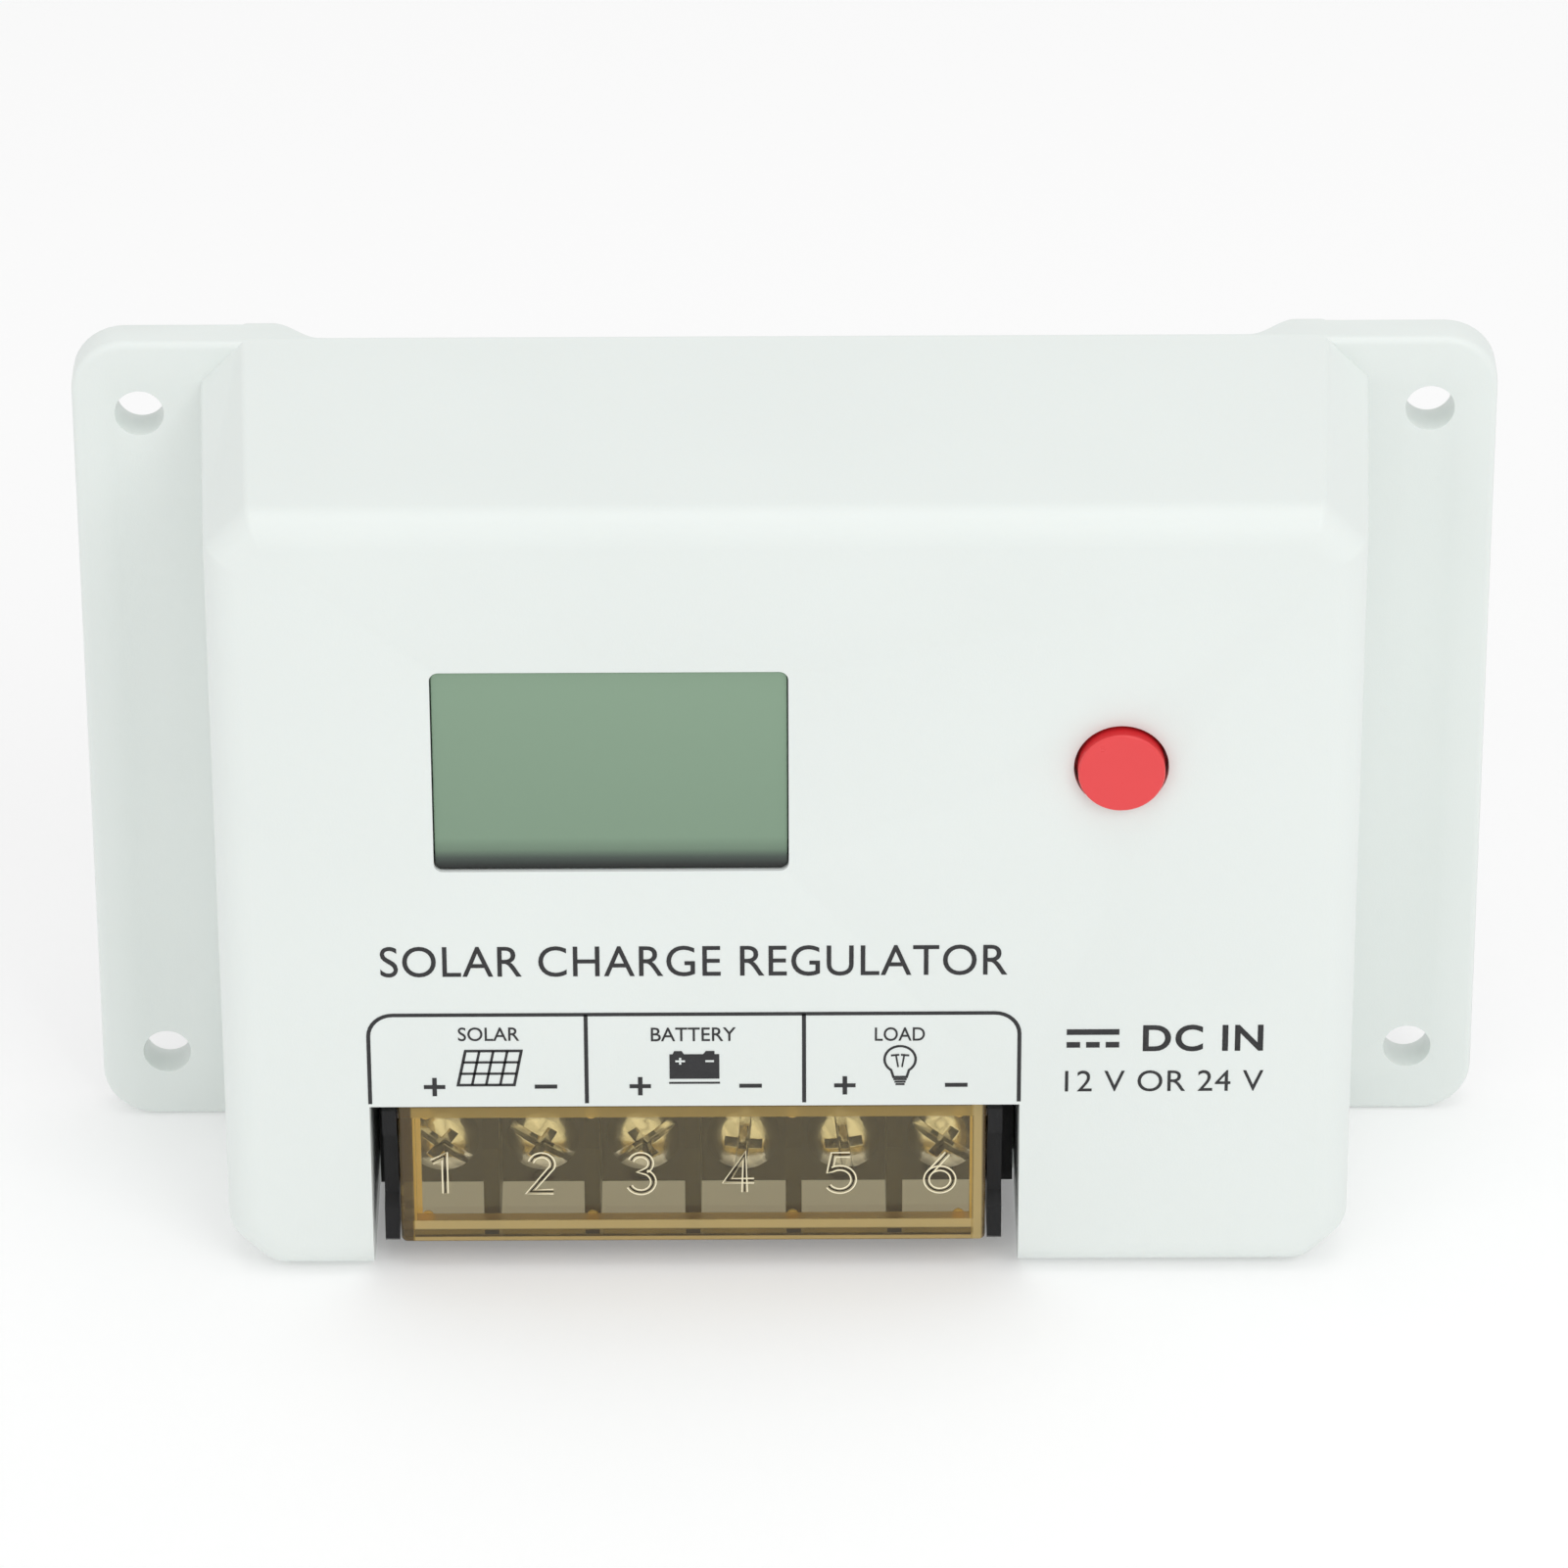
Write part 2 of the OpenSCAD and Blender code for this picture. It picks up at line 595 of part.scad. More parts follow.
module temperature_sensor() color("black") upright() translate([26, -16, board_front]) union() {
    translate([0, 0, 4.6]) sphere(r = 1.3);
    for (x = [-0.6, 0.6]) peg(x, 0, 0, 4.2, 0.25);
}

housing();
back_plate();
back_plate_screws();
button_cap();
display_lens();
lcd_panel();
lcd_backlight();
lcd_pins();
display_board();
display_board_screws();
switch_body();
switch_plunger();
header_socket();
header_pins();
main_board();
main_board_screws();
terminal_body();
terminal_contacts();
terminal_cover();
terminal_screw(0);  // terminal_screw_1
terminal_screw(1);  // terminal_screw_2
terminal_screw(2);  // terminal_screw_3
terminal_screw(3);  // terminal_screw_4
terminal_screw(4);  // terminal_screw_5
terminal_screw(5);  // terminal_screw_6
clamp_washer(0);  // clamp_washer_1
clamp_washer(1);  // clamp_washer_2
clamp_washer(2);  // clamp_washer_3
clamp_washer(3);  // clamp_washer_4
clamp_washer(4);  // clamp_washer_5
clamp_washer(5);  // clamp_washer_6
thermal_pad();
mosfet_bodies();
mosfet_tabs();
mosfet_clamp_bar();
clamp_bar_screws();
capacitors();
capacitor_sleeves();
surge_diodes();
shunt_resistor();
microcontroller();
driver_chips();
crystal();
chip_components();
temperature_sensor();
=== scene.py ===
import math
import bpy
import bmesh
from mathutils import Matrix, Vector


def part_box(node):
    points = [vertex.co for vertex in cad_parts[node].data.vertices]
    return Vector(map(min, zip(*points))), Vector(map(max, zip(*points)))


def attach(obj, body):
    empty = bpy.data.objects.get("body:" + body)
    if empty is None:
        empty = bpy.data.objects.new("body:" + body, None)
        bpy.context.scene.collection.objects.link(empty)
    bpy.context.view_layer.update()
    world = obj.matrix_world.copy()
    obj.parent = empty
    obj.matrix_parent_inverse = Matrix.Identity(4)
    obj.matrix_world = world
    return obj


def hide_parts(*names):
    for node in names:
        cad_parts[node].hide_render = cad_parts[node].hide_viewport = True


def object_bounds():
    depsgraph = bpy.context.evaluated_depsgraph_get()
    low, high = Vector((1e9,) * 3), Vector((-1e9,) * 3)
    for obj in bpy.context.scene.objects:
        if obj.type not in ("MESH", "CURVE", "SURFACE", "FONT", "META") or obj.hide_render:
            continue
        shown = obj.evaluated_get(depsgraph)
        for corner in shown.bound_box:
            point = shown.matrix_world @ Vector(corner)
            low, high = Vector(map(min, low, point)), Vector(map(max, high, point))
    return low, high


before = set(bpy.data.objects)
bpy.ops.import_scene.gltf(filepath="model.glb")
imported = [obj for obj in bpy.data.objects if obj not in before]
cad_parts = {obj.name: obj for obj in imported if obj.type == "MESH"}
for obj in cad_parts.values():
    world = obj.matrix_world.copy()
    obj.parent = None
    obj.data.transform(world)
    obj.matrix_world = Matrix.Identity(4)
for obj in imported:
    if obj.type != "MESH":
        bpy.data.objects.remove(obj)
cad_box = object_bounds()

# Every shape below is given in millimetres as (x, up, out): x to the right seen from the
# front, up the panel, and out from the wall. P() turns that into the row frame in metres.
MM = 0.001
FAR = 60            # past every face of the part, for cutters that run right through


def P(x, up, out):
    return Vector((x * MM, -out * MM, up * MM))


def span(node):
    """A CAD node's box as ((x0, x1), (up0, up1), (out0, out1)) in millimetres."""
    a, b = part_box(node)
    return (a[0] / MM, b[0] / MM), (a[2] / MM, b[2] / MM), (-b[1] / MM, -a[1] / MM)


# ---------------------------------------------------------------- mesh helpers

def add_object(name, data):
    ob = bpy.data.objects.new(name, data)
    bpy.context.scene.collection.objects.link(ob)
    return ob


def make(name, verts, faces, smooth=True):
    me = bpy.data.meshes.new(name)
    me.from_pydata([tuple(v) for v in verts], [], faces)
    me.validate()
    ob = add_object(name, me)
    tidy(ob, smooth=smooth)
    return ob


def tidy(ob, angle=32, smooth=True, merge=0.0):
    """Outward normals, smooth shading with edges sharper than angle kept crisp."""
    bm = bmesh.new()
    bm.from_mesh(ob.data)
    if merge:
        bmesh.ops.remove_doubles(bm, verts=bm.verts, dist=merge * MM)
        bmesh.ops.dissolve_degenerate(bm, edges=bm.edges, dist=merge * MM * 0.5)
    bmesh.ops.recalc_face_normals(bm, faces=bm.faces)
    bm.to_mesh(ob.data)
    bm.free()
    for p in ob.data.polygons:
        p.use_smooth = smooth
    if smooth:
        ob.data.set_sharp_from_angle(angle=math.radians(angle))


def level(outline, out):
    """An (x, up) outline at one distance from the wall."""
    return [(x, up, out) for x, up in outline]


def loft(name, rings):
    """Closed solid through rings of equally many points, each point (x, up, out)."""
    n, m = len(rings[0]), len(rings)
    verts = [P(*p) for r in rings for p in r]
    faces = [tuple(range(n))[::-1], tuple((m - 1) * n + i for i in range(n))]
    for k in range(m - 1):
        for i in range(n):
            j = (i + 1) % n
            faces.append((k * n + i, k * n + j, (k + 1) * n + j, (k + 1) * n + i))
    return make(name, verts, faces)


def prism(name, outline, out0, out1):
    return loft(name, [level(outline, out0), level(outline, out1)])


def block(name, x, up, out):
    corners = [(x[0], up[0]), (x[1], up[0]), (x[1], up[1]), (x[0], up[1])]
    return prism(name, corners, out[0], out[1])


def revolve(name, cx, cup, profile, n=72):
    """Solid of revolution about a line along out; profile is (radius, out), axis to axis."""
    verts, faces, rows = [], [], []
    turns = [2 * math.pi * i / n for i in range(n)]
    for r, out in profile:
        if r == 0:
            rows.append([len(verts)])
            verts.append(P(cx, cup, out))
        else:
            rows.append(list(range(len(verts), len(verts) + n)))
            verts += [P(cx + r * math.cos(a), cup + r * math.sin(a), out) for a in turns]
    for a, b in zip(rows, rows[1:]):
        for i in range(n):
            j = (i + 1) % n
            if len(a) == 1 and len(b) > 1:
                faces.append((a[0], b[i], b[j]))
            elif len(b) == 1 and len(a) > 1:
                faces.append((a[i], b[0], a[j]))
            elif len(a) > 1:
                faces.append((a[i], b[i], b[j], a[j]))
    return make(name, verts, faces)


def rod(name, cx, cup, r, out0, out1, n=32):
    """A round bar along out."""
    return revolve(name, cx, cup, [(0, out0), (r, out0), (r, out1), (0, out1)], n)


def applied(ob):
    """Bakes an object's modifiers into its mesh."""
    dg = bpy.context.evaluated_depsgraph_get()
    me = bpy.data.meshes.new_from_object(ob.evaluated_get(dg))
    old = ob.data
    ob.modifiers.clear()
    ob.data = me
    bpy.data.meshes.remove(old)


def boolean(ob, cutter, op="DIFFERENCE"):
    m = ob.modifiers.new("b", "BOOLEAN")
    m.object, m.operation, m.solver = cutter, op, "EXACT"
    bpy.context.view_layer.update()
    applied(ob)
    bpy.data.objects.remove(cutter)


def edge_modifier(ob, width, segments, angle):
    m = ob.modifiers.new("edge", "BEVEL")
    m.width, m.segments, m.limit_method = width * MM, segments, "ANGLE"
    m.angle_limit, m.use_clamp_overlap = math.radians(angle), True
    return m


def bevel(ob, width, segments, angle):
    """Rounds the edges of a finished shape that are sharper than angle."""
    edge_modifier(ob, width, segments, angle).miter_outer = "MITER_SHARP"
    bpy.context.view_layer.update()
    applied(ob)


def soften(node, width, segments):
    """A small rounded edge on a CAD node, as a live modifier."""
    edge_modifier(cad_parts[node], width, segments, 30)


def arc(cx, cy, r, a0, a1, n):
    """n + 1 points from angle a0 to angle a1, in degrees."""
    turns = [math.radians(a0 + (a1 - a0) * i / n) for i in range(n + 1)]
    return [(cx + r * math.cos(a), cy + r * math.sin(a)) for a in turns]


def round_rect(x0, x1, y0, y1, r, n=8):
    return (arc(x1 - r, y1 - r, r, 0, 90, n) + arc(x0 + r, y1 - r, r, 90, 180, n)
            + arc(x0 + r, y0 + r, r, 180, 270, n) + arc(x1 - r, y0 + r, r, 270, 360, n))


# ---------------------------------------------------------------- shader helpers

def add_node(nt, kind, inputs=None, **settings):
    """A new shader node; inputs gives its sockets a value or another node's output."""
    n = nt.nodes.new("ShaderNode" + kind)
    for key, value in settings.items():
        setattr(n, key, value)
    for key, value in (inputs or {}).items():
        if isinstance(value, bpy.types.NodeSocket):
            nt.links.new(value, n.inputs[key])
        else:
            n.inputs[key].default_value = value
    return n


def ramp(nt, fac, stops):
    """Colours between (position, (r, g, b)) stops."""
    r = add_node(nt, "ValToRGB", {0: fac})
    el = r.color_ramp.elements
    el[0].position, el[0].color = stops[0][0], (*stops[0][1], 1)
    el[1].position, el[1].color = stops[-1][0], (*stops[-1][1], 1)
    for pos, colour in stops[1:-1]:
        el.new(pos).color = (*colour, 1)
    return r.outputs[0]


def place(nt):
    """A shaded point in the object's own coordinates, in metres."""
    return add_node(nt, "TexCoord").outputs["Object"]


def noise(nt, scale, detail=3, rough=0.5, stretch=(1, 1, 1)):
    where = add_node(nt, "Mapping", {0: place(nt), "Scale": stretch}).outputs[0]
    return add_node(nt, "TexNoise", {"Vector": where, "Scale": scale, "Detail": detail,
                                     "Roughness": rough}).outputs["Fac"]


def relief(nt, height, strength, distance):
    """The normal of a surface with a fine relief, distance in millimetres."""
    return add_node(nt, "Bump", {"Height": height, "Strength": strength,
                                 "Distance": distance * MM}).outputs[0]


def split(nt, vector):
    return add_node(nt, "SeparateXYZ", {0: vector}).outputs


def run_of(nt, value, start, end):
    """0 to 1 while value goes from start to end, in millimetres."""
    return add_node(nt, "MapRange", {"Value": value, "From Min": start * MM,
                                     "From Max": end * MM}).outputs[0]


def math_node(nt, op, a, b=0.0):
    """A Math node's result; a and b are numbers or sockets."""
    return add_node(nt, "Math", {0: a, 1: b}, operation=op).outputs[0]


def mixed(nt, fac, a, b, blend="MIX"):
    """A colour mix of sockets or (r, g, b, 1) values."""
    return add_node(nt, "Mix", {"Factor": fac, "A": a, "B": b}, data_type="RGBA",
                    blend_type=blend).outputs["Result"]


def grey(v):
    return (v, v, v)


def scaled(colour, k):
    return tuple(min(1.0, v * k) for v in colour)


def new_material(name):
    """A material with its node tree and its Principled node."""
    m = bpy.data.materials.new(name)
    m.use_nodes = True
    return m, m.node_tree, m.node_tree.nodes["Principled BSDF"]


def material(name, color, rough=0.5, metal=0.0, vary=0.03, vary_scale=60, grain=4000, bump=0.05,
             stretch=(1, 1, 1), rough_vary=0.08, **extra):
    """Principled surface with slight colour and roughness variation and a fine relief."""
    m, nt, surface = new_material(name)
    broad = noise(nt, vary_scale, 4, 0.55)
    nt.links.new(ramp(nt, broad, [(0.3, scaled(color, 1 - vary)), (0.7, scaled(color, 1 + vary))]),
                 surface.inputs["Base Color"])
    patches = noise(nt, vary_scale * 6, 4, 0.6, stretch)
    r0, r1 = max(0, rough - rough_vary), min(1, rough + rough_vary)
    nt.links.new(ramp(nt, patches, [(0.3, grey(r0)), (0.7, grey(r1))]), surface.inputs["Roughness"])
    surface.inputs["Metallic"].default_value = metal
    if bump:
        fine = noise(nt, grain, 2, 0.5, stretch)
        nt.links.new(relief(nt, fine, bump, 0.1), surface.inputs["Normal"])
    for k, v in extra.items():
        surface.inputs[k.replace("_", " ")].default_value = v
    return m


def recolour(m, colour):
    """Gives a Principled material another base colour, from a socket."""
    m.node_tree.links.new(colour, m.node_tree.nodes["Principled BSDF"].inputs["Base Color"])


# ---------------------------------------------------------------- plastics, metals and boards

white = material("housing_white", (0.80, 0.845, 0.82), 0.42, vary=0.012, vary_scale=25, grain=5500,
                 bump=0.10, rough_vary=0.05, Subsurface_Weight=0.08,
                 Subsurface_Radius=(1, 0.9, 0.8), Subsurface_Scale=0.0006)
red = material("button_red", (0.80, 0.055, 0.06), 0.34, vary=0.03, grain=6000, bump=0.08)
# painted shade: a darker, less glossy copy of the button red for the cap's side wall
red_side_painted_shade = material("button_red_side", (0.66, 0.022, 0.028), 0.42, vary=0.03, grain=6000, bump=0.08,
                    Specular_IOR_Level=0.2)
ink = material("legend_ink", (0.017, 0.017, 0.019), 0.5, vary=0.2, vary_scale=900, grain=9000, bump=0.05)
black = material("block_black", (0.011, 0.011, 0.012), 0.36, vary=0.15, vary_scale=120, grain=4500,
                 bump=0.15, Specular_IOR_Level=0.26)
chip = material("chip_black", (0.018, 0.018, 0.02), 0.55, vary=0.2, vary_scale=300, grain=5000, bump=0.2)
brass = material("terminal_plate", (0.62, 0.60, 0.54), 0.3, 1.0, vary=0.08, vary_scale=200, grain=2500,
                 bump=0.12)
zinc = material("zinc_screw", (0.55, 0.56, 0.58), 0.3, 1.0, vary=0.1, vary_scale=300, grain=2500, bump=0.1)
tin = material("tin_plate", (0.68, 0.68, 0.66), 0.25, 1.0, vary=0.06, vary_scale=300, grain=3000, bump=0.1)
rolled = material("rolled_aluminium", (0.66, 0.67, 0.69), 0.36, 1.0, vary=0.05, vary_scale=40, grain=900,
                  bump=0.35, stretch=(0.06, 1, 2.2))
can = material("can_aluminium", (0.7, 0.7, 0.71), 0.28, 1.0, vary=0.04, vary_scale=150, grain=2000, bump=0.1)
sleeve = material("shrink_sleeve", (0.015, 0.02, 0.06), 0.25, vary=0.1, grain=3000, bump=0.05)
pad = material("thermal_pad_grey", (0.35, 0.37, 0.40), 0.8, vary=0.08, vary_scale=250, grain=2500, bump=0.4)
copper = material("shunt_copper", (0.72, 0.42, 0.28), 0.32, 1.0, vary=0.08, grain=2200, bump=0.15)
ceramic = material("chip_ceramic", (0.42, 0.33, 0.22), 0.5, vary=0.15, vary_scale=700, grain=4000, bump=0.15)
diffuser = material("backlight_white", (0.8, 0.82, 0.78), 0.35, vary=0.02, grain=4000, bump=0.05)


def board_material():
    """Green solder mask over faint copper tracks."""
    mask, track = (0.006, 0.05, 0.018), (0.016, 0.1, 0.035)
    m = material("board_green", mask, 0.3, vary=0.1, vary_scale=150, grain=3000, bump=0.1)
    nt = m.node_tree
    cells = add_node(nt, "TexVoronoi", {"Vector": place(nt), "Scale": 260}, feature="F1",
                     distance="MANHATTAN")
    steps = math_node(nt, "PINGPONG", cells.outputs["Distance"], 0.12)
    recolour(m, ramp(nt, steps, [(0.0, track), (0.045, track), (0.06, mask)]))
    return m


def display_material(low, high):
    """Grey-green display seen through its window, darker along the bottom edge."""
    m = material("display_green", (0.235, 0.35, 0.25), 0.16, vary=0.02, grain=3000, bump=0.0,
                 rough_vary=0.02, Coat_Weight=0.12, Coat_Roughness=0.08, Specular_IOR_Level=0.32)
    nt = m.node_tree
    recolour(m, ramp(nt, run_of(nt, split(nt, place(nt))["Z"], low, high), [
        (0.0, (0.006, 0.007, 0.006)), (0.025, (0.014, 0.017, 0.015)), (0.065, (0.060, 0.082, 0.068)),
        (0.105, (0.155, 0.230, 0.163)), (0.165, (0.212, 0.316, 0.222)), (1.0, (0.238, 0.350, 0.247))]))
    return m


def polished_material():
    """Nickel plate with painted reflections, bands of lighter and darker colour that follow the surface's
    turn, and painted shade in its recesses.
    """
    m = material("nickel_plate", (0.98, 0.96, 0.93), 0.17, 1.0, vary=0.05, vary_scale=260, grain=3000,
                 bump=0.10)
    nt = m.node_tree
    base = nt.nodes["Principled BSDF"].inputs["Base Color"].links[0].from_socket
    facing = split(nt, add_node(nt, "NewGeometry").outputs["Normal"])
    # painted reflections: the colour steps lighter and darker with the way the surface faces, as soft boxes
    # would show in polished metal
    tilt = math_node(nt, "ADD", math_node(nt, "MULTIPLY", facing["X"], 1.1),
                     math_node(nt, "MULTIPLY", facing["Z"], 0.7))
    painted_reflection_steps = ((0.0, 0.5), (0.26, 0.7), (0.32, 1.2), (0.40, 1.15), (0.45, 0.76), (0.54, 0.86),
               (0.60, 1.2), (0.70, 1.1), (0.78, 0.6), (1.0, 0.8))
    painted_reflection = ramp(nt, math_node(nt, "ADD", tilt, 0.5), [(pos, grey(v)) for pos, v in painted_reflection_steps])
    # painted shade: ambient occlusion darkens the colour in the slot and the cross recess
    openness = add_node(nt, "AmbientOcclusion", {"Distance": 1.2 * MM}).outputs["AO"]
    hollow = ramp(nt, openness, [(0.25, (0.16, 0.15, 0.135)), (0.70, grey(1))])
    for share in (painted_reflection, hollow):
        base = mixed(nt, 1, base, share, "MULTIPLY")
    recolour(m, base)
    return m


# ---------------------------------------------------------------- amber plastic

cover_up, cover_out = span("terminal_cover")[1:]
centre_x, pitch, cover_half = -8.95, 9.5, 27.55       # the block's middle, its step, half the cover's width
ways = [centre_x + (i - 2.5) * pitch for i in range(6)]
gold, brown, honey = (0.76, 0.59, 0.25), (0.16, 0.105, 0.035), (0.62, 0.42, 0.11)
CLEAR = 0.965                                         # share of the light that a clear wall lets through


def edge_bands(nt, value, start, length, bands):
    """Colour and clearness along value over a length of the cover, from bands of (from, to,
    clearness, colour), in millimetres."""
    along = run_of(nt, value, start, start + length)
    stops = [(mm / length, clear, colour) for a, b, clear, colour in bands for mm in (a, b)]
    return (ramp(nt, along, [(pos, colour) for pos, clear, colour in stops]),
            ramp(nt, along, [(pos, grey(clear)) for pos, clear, colour in stops]))


def barrier_tips(nt, at, middle, low):
    """1 where the tips of the block's barriers show dark through the cover's lower lip."""
    up, half_w, half_h = low + 1.18, 0.68, 0.24
    many = 10 * pitch                                 # keeps the value of the repeated step positive
    across = math_node(nt, "ADD", math_node(nt, "SUBTRACT", at["X"], middle * MM), many * MM)
    off_x = math_node(nt, "PINGPONG", across, pitch / 2 * MM)
    off_up = math_node(nt, "ABSOLUTE", math_node(nt, "SUBTRACT", at["Z"], up * MM))
    return math_node(nt, "MULTIPLY", math_node(nt, "LESS_THAN", off_x, half_w * MM),
                     math_node(nt, "LESS_THAN", off_up, half_h * MM))


def banded(nt, x0, x1, low, high):
    """Colour and clearness of the cover, whose walls and lips show as bands along its edges."""
    wide, tall = x1 - x0, high - low
    at = split(nt, place(nt))
    colour, clear_up = edge_bands(nt, at["Z"], low, tall, [
        (0.0, 0.2, 0.15, (0.34, 0.23, 0.07)), (0.3, 0.62, 0.10, (0.72, 0.53, 0.21)),
        (0.72, 0.88, 0.25, (0.11, 0.075, 0.02)), (0.98, 1.48, 0.42, (0.30, 0.22, 0.07)),
        (1.58, 2.45, 0.12, gold), (2.55, tall - 1.5, CLEAR, honey),
        (tall - 1.38, tall - 0.35, 0.15, (0.52, 0.36, 0.10)), (tall - 0.25, tall, 0.2, (0.20, 0.14, 0.04))])
    side_colour, clear_x = edge_bands(nt, at["X"], x0, wide, [
        (0.0, 1.15, 0.35, brown), (1.3, wide - 1.3, CLEAR, honey),
        (wide - 1.2, wide - 0.4, 0.12, gold), (wide - 0.3, wide, 0.35, brown)])
    tip = barrier_tips(nt, at, (x0 + x1) / 2, low)
    colour = mixed(nt, tip, colour, (0.06, 0.045, 0.02, 1))
    colour = mixed(nt, math_node(nt, "LESS_THAN", clear_x, 0.9), colour, side_colour)
    shade = math_node(nt, "SUBTRACT", 1.0, math_node(nt, "MULTIPLY", tip, 0.8))
    return colour, math_node(nt, "MULTIPLY", math_node(nt, "MINIMUM", clear_x, clear_up), shade)


def amber_material(name, body, clear, zone=None, painted_glow=0.0):
    """Amber moulding, tinted by thickness. clear is the share of light that passes its skin, painted_glow the
    strength of an emission painted on as light led into a rim, zone the (left, right, bottom, top) of a cover
    with bands along its edges."""
    m, nt, principled = new_material(name)
    nt.nodes.remove(principled)
    if zone:
        colour, clear = banded(nt, *zone)
    else:
        colour = ramp(nt, noise(nt, 90, 3), [(0.3, scaled(body, 0.92)), (0.7, scaled(body, 1.06))])
    see = add_node(nt, "BsdfTransparent", {0: (0.97, 0.955, 0.90, 1)})
    matt = add_node(nt, "BsdfDiffuse", {"Color": colour})
    milky = add_node(nt, "BsdfTranslucent", {"Color": colour})
    dense = add_node(nt, "MixShader", {0: 0.45, 1: matt.outputs[0], 2: milky.outputs[0]})
    # painted light: an emission that makes a rim glow as if light were led into it
    if painted_glow:
        light = add_node(nt, "Emission", {"Color": (1.0, 0.74, 0.20, 1), "Strength": painted_glow})
        dense = add_node(nt, "AddShader", {0: dense.outputs[0], 1: light.outputs[0]})
    mass = add_node(nt, "MixShader", {0: clear, 1: dense.outputs[0], 2: see.outputs[0]})
    gloss = add_node(nt, "BsdfGlossy", {"Roughness": 0.06, "Color": (1, 0.985, 0.94, 1),
                                        "Normal": relief(nt, noise(nt, 500, 2), 0.08, 0.2)})
    fresnel = add_node(nt, "Fresnel", {0: 1.49})
    skin = add_node(nt, "MixShader", {0: fresnel.outputs[0], 1: mass.outputs[0], 2: gloss.outputs[0]})
    tint = add_node(nt, "VolumeAbsorption", {"Color": (0.93, 0.81, 0.34, 1), "Density": 430})
    out = nt.nodes["Material Output"]
    nt.links.new(skin.outputs[0], out.inputs["Surface"])
    nt.links.new(tint.outputs[0], out.inputs["Volume"])
    return m


lens_x, lens_up, lens_out = span("display_lens")
lens_rim = 1                                          # the lens runs on behind the panel by this much
window = (lens_x[0] + lens_rim, lens_x[1] - lens_rim, lens_up[0] + lens_rim, lens_up[1] - lens_rim)

nickel = polished_material()
board = board_material()
display = display_material(window[2], window[3])
amber = amber_material("amber_clear", honey, CLEAR, (centre_x - cover_half, centre_x + cover_half, *cover_up))
# rims and lips with a painted glow, an emission standing in for light led into them
amber_edge = amber_material("amber_rim", (1.0, 0.76, 0.30), 0.04, painted_glow=0.16)
amber_lip = amber_material("amber_lip", (1.0, 0.80, 0.38), 0.04, painted_glow=0.30)
# painted highlight: the numerals' ridges are modelled, and their opaque cream stands in for the highlights
# clear amber ridges would catch
amber_line_painted_highlight = material("amber_line_painted_highlight", (0.92, 0.84, 0.60), 0.22, vary=0.04, grain=2500, bump=0.03)
# painted shade: a dark brown without specular, for the numerals' grooves and the notch walls of the lower lip
amber_groove_painted_shade = material("amber_groove_painted_shade", (0.045, 0.037, 0.028), 0.5, vary=0.1, grain=2500, bump=0.05,
                        Specular_IOR_Level=0.0)


def paint(ob, *mats):
    ob.data.materials.clear()
    for m in mats:
        ob.data.materials.append(m)


def piece(ob, body, mats, slot, *replaced):
    """Paints a finished piece and lets it ride on a body, hiding the CAD nodes it replaces; slot is not used.
    """
    paint(ob, *(mats if isinstance(mats, list) else [mats]))
    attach(ob, body)
    if replaced:
        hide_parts(*replaced)


# ---------------------------------------------------------------- housing

hx, hup, hout = span("housing")
front, half_h = hout[1], hup[1]
flange_t, flange_r, wall, air_gap = 4.0, 5.0, 2.2, 3.0
pad_edge, pad_blend = 45.3, 2.3                       # middle of a flange pad's S-shaped end, half its length
half_w, corner_cut, draft_side, draft_top, draft_bottom = 54.2, 4.0, 1.4, 3.0, 0.2
front_r, corner_top_r, corner_low_r, window_r = 3.4, 0.9, 3.2, 0.85
button_x, button_up, button_out = span("button_cap")
button = (sum(button_x) / 2, sum(button_up) / 2)
button_hole_r = 4.35
hole_x, hole_up, hole_r = 60, 35, 2.3
recess_x, recess_top, recess_back = (-39.1, 21.7), -23.3, 14.25
lining, lining_back = 1.5, 14.9                       # the recess's walls, and where the one behind it starts
# screw bosses: x, up, out of the end, radius, depth and radius of the pilot hole
bosses = ([(sx * 46.5, sy * 34.5, 4.5, 3.1, 10, 1.25) for sx in (-1, 1) for sy in (-1, 1)]
          + [(sx * 46.5, up, 14.5, 2.5, 9, 1.2) for sx in (-1, 1) for up in (-14, 12)]
          + [(x, up, 22.9, 2.2, 6, 0.95) for x in (-34.5, 38.5) for up in (-14, 28.4)])


def rounded_corner(before, corner, after, r, longest, n):
    """Points of a fillet at a corner between two others, cut no further along them than longest."""
    u, v = (before - corner).normalized(), (after - corner).normalized()
    half = u.angle(v) / 2
    leg = min(r / math.tan(half), longest)
    r = leg * math.tan(half)
    centre = corner + (u + v).normalized() * (r / math.sin(half))
    start, end = corner + u * leg - centre, corner + v * leg - centre
    a0 = math.atan2(start.y, start.x)
    sweep = (math.atan2(end.y, end.x) - a0 + math.pi) % (2 * math.pi) - math.pi
    turns = [a0 + sweep * k / n for k in range(n + 1)]
    return [(centre.x + r * math.cos(a), centre.y + r * math.sin(a)) for a in turns]


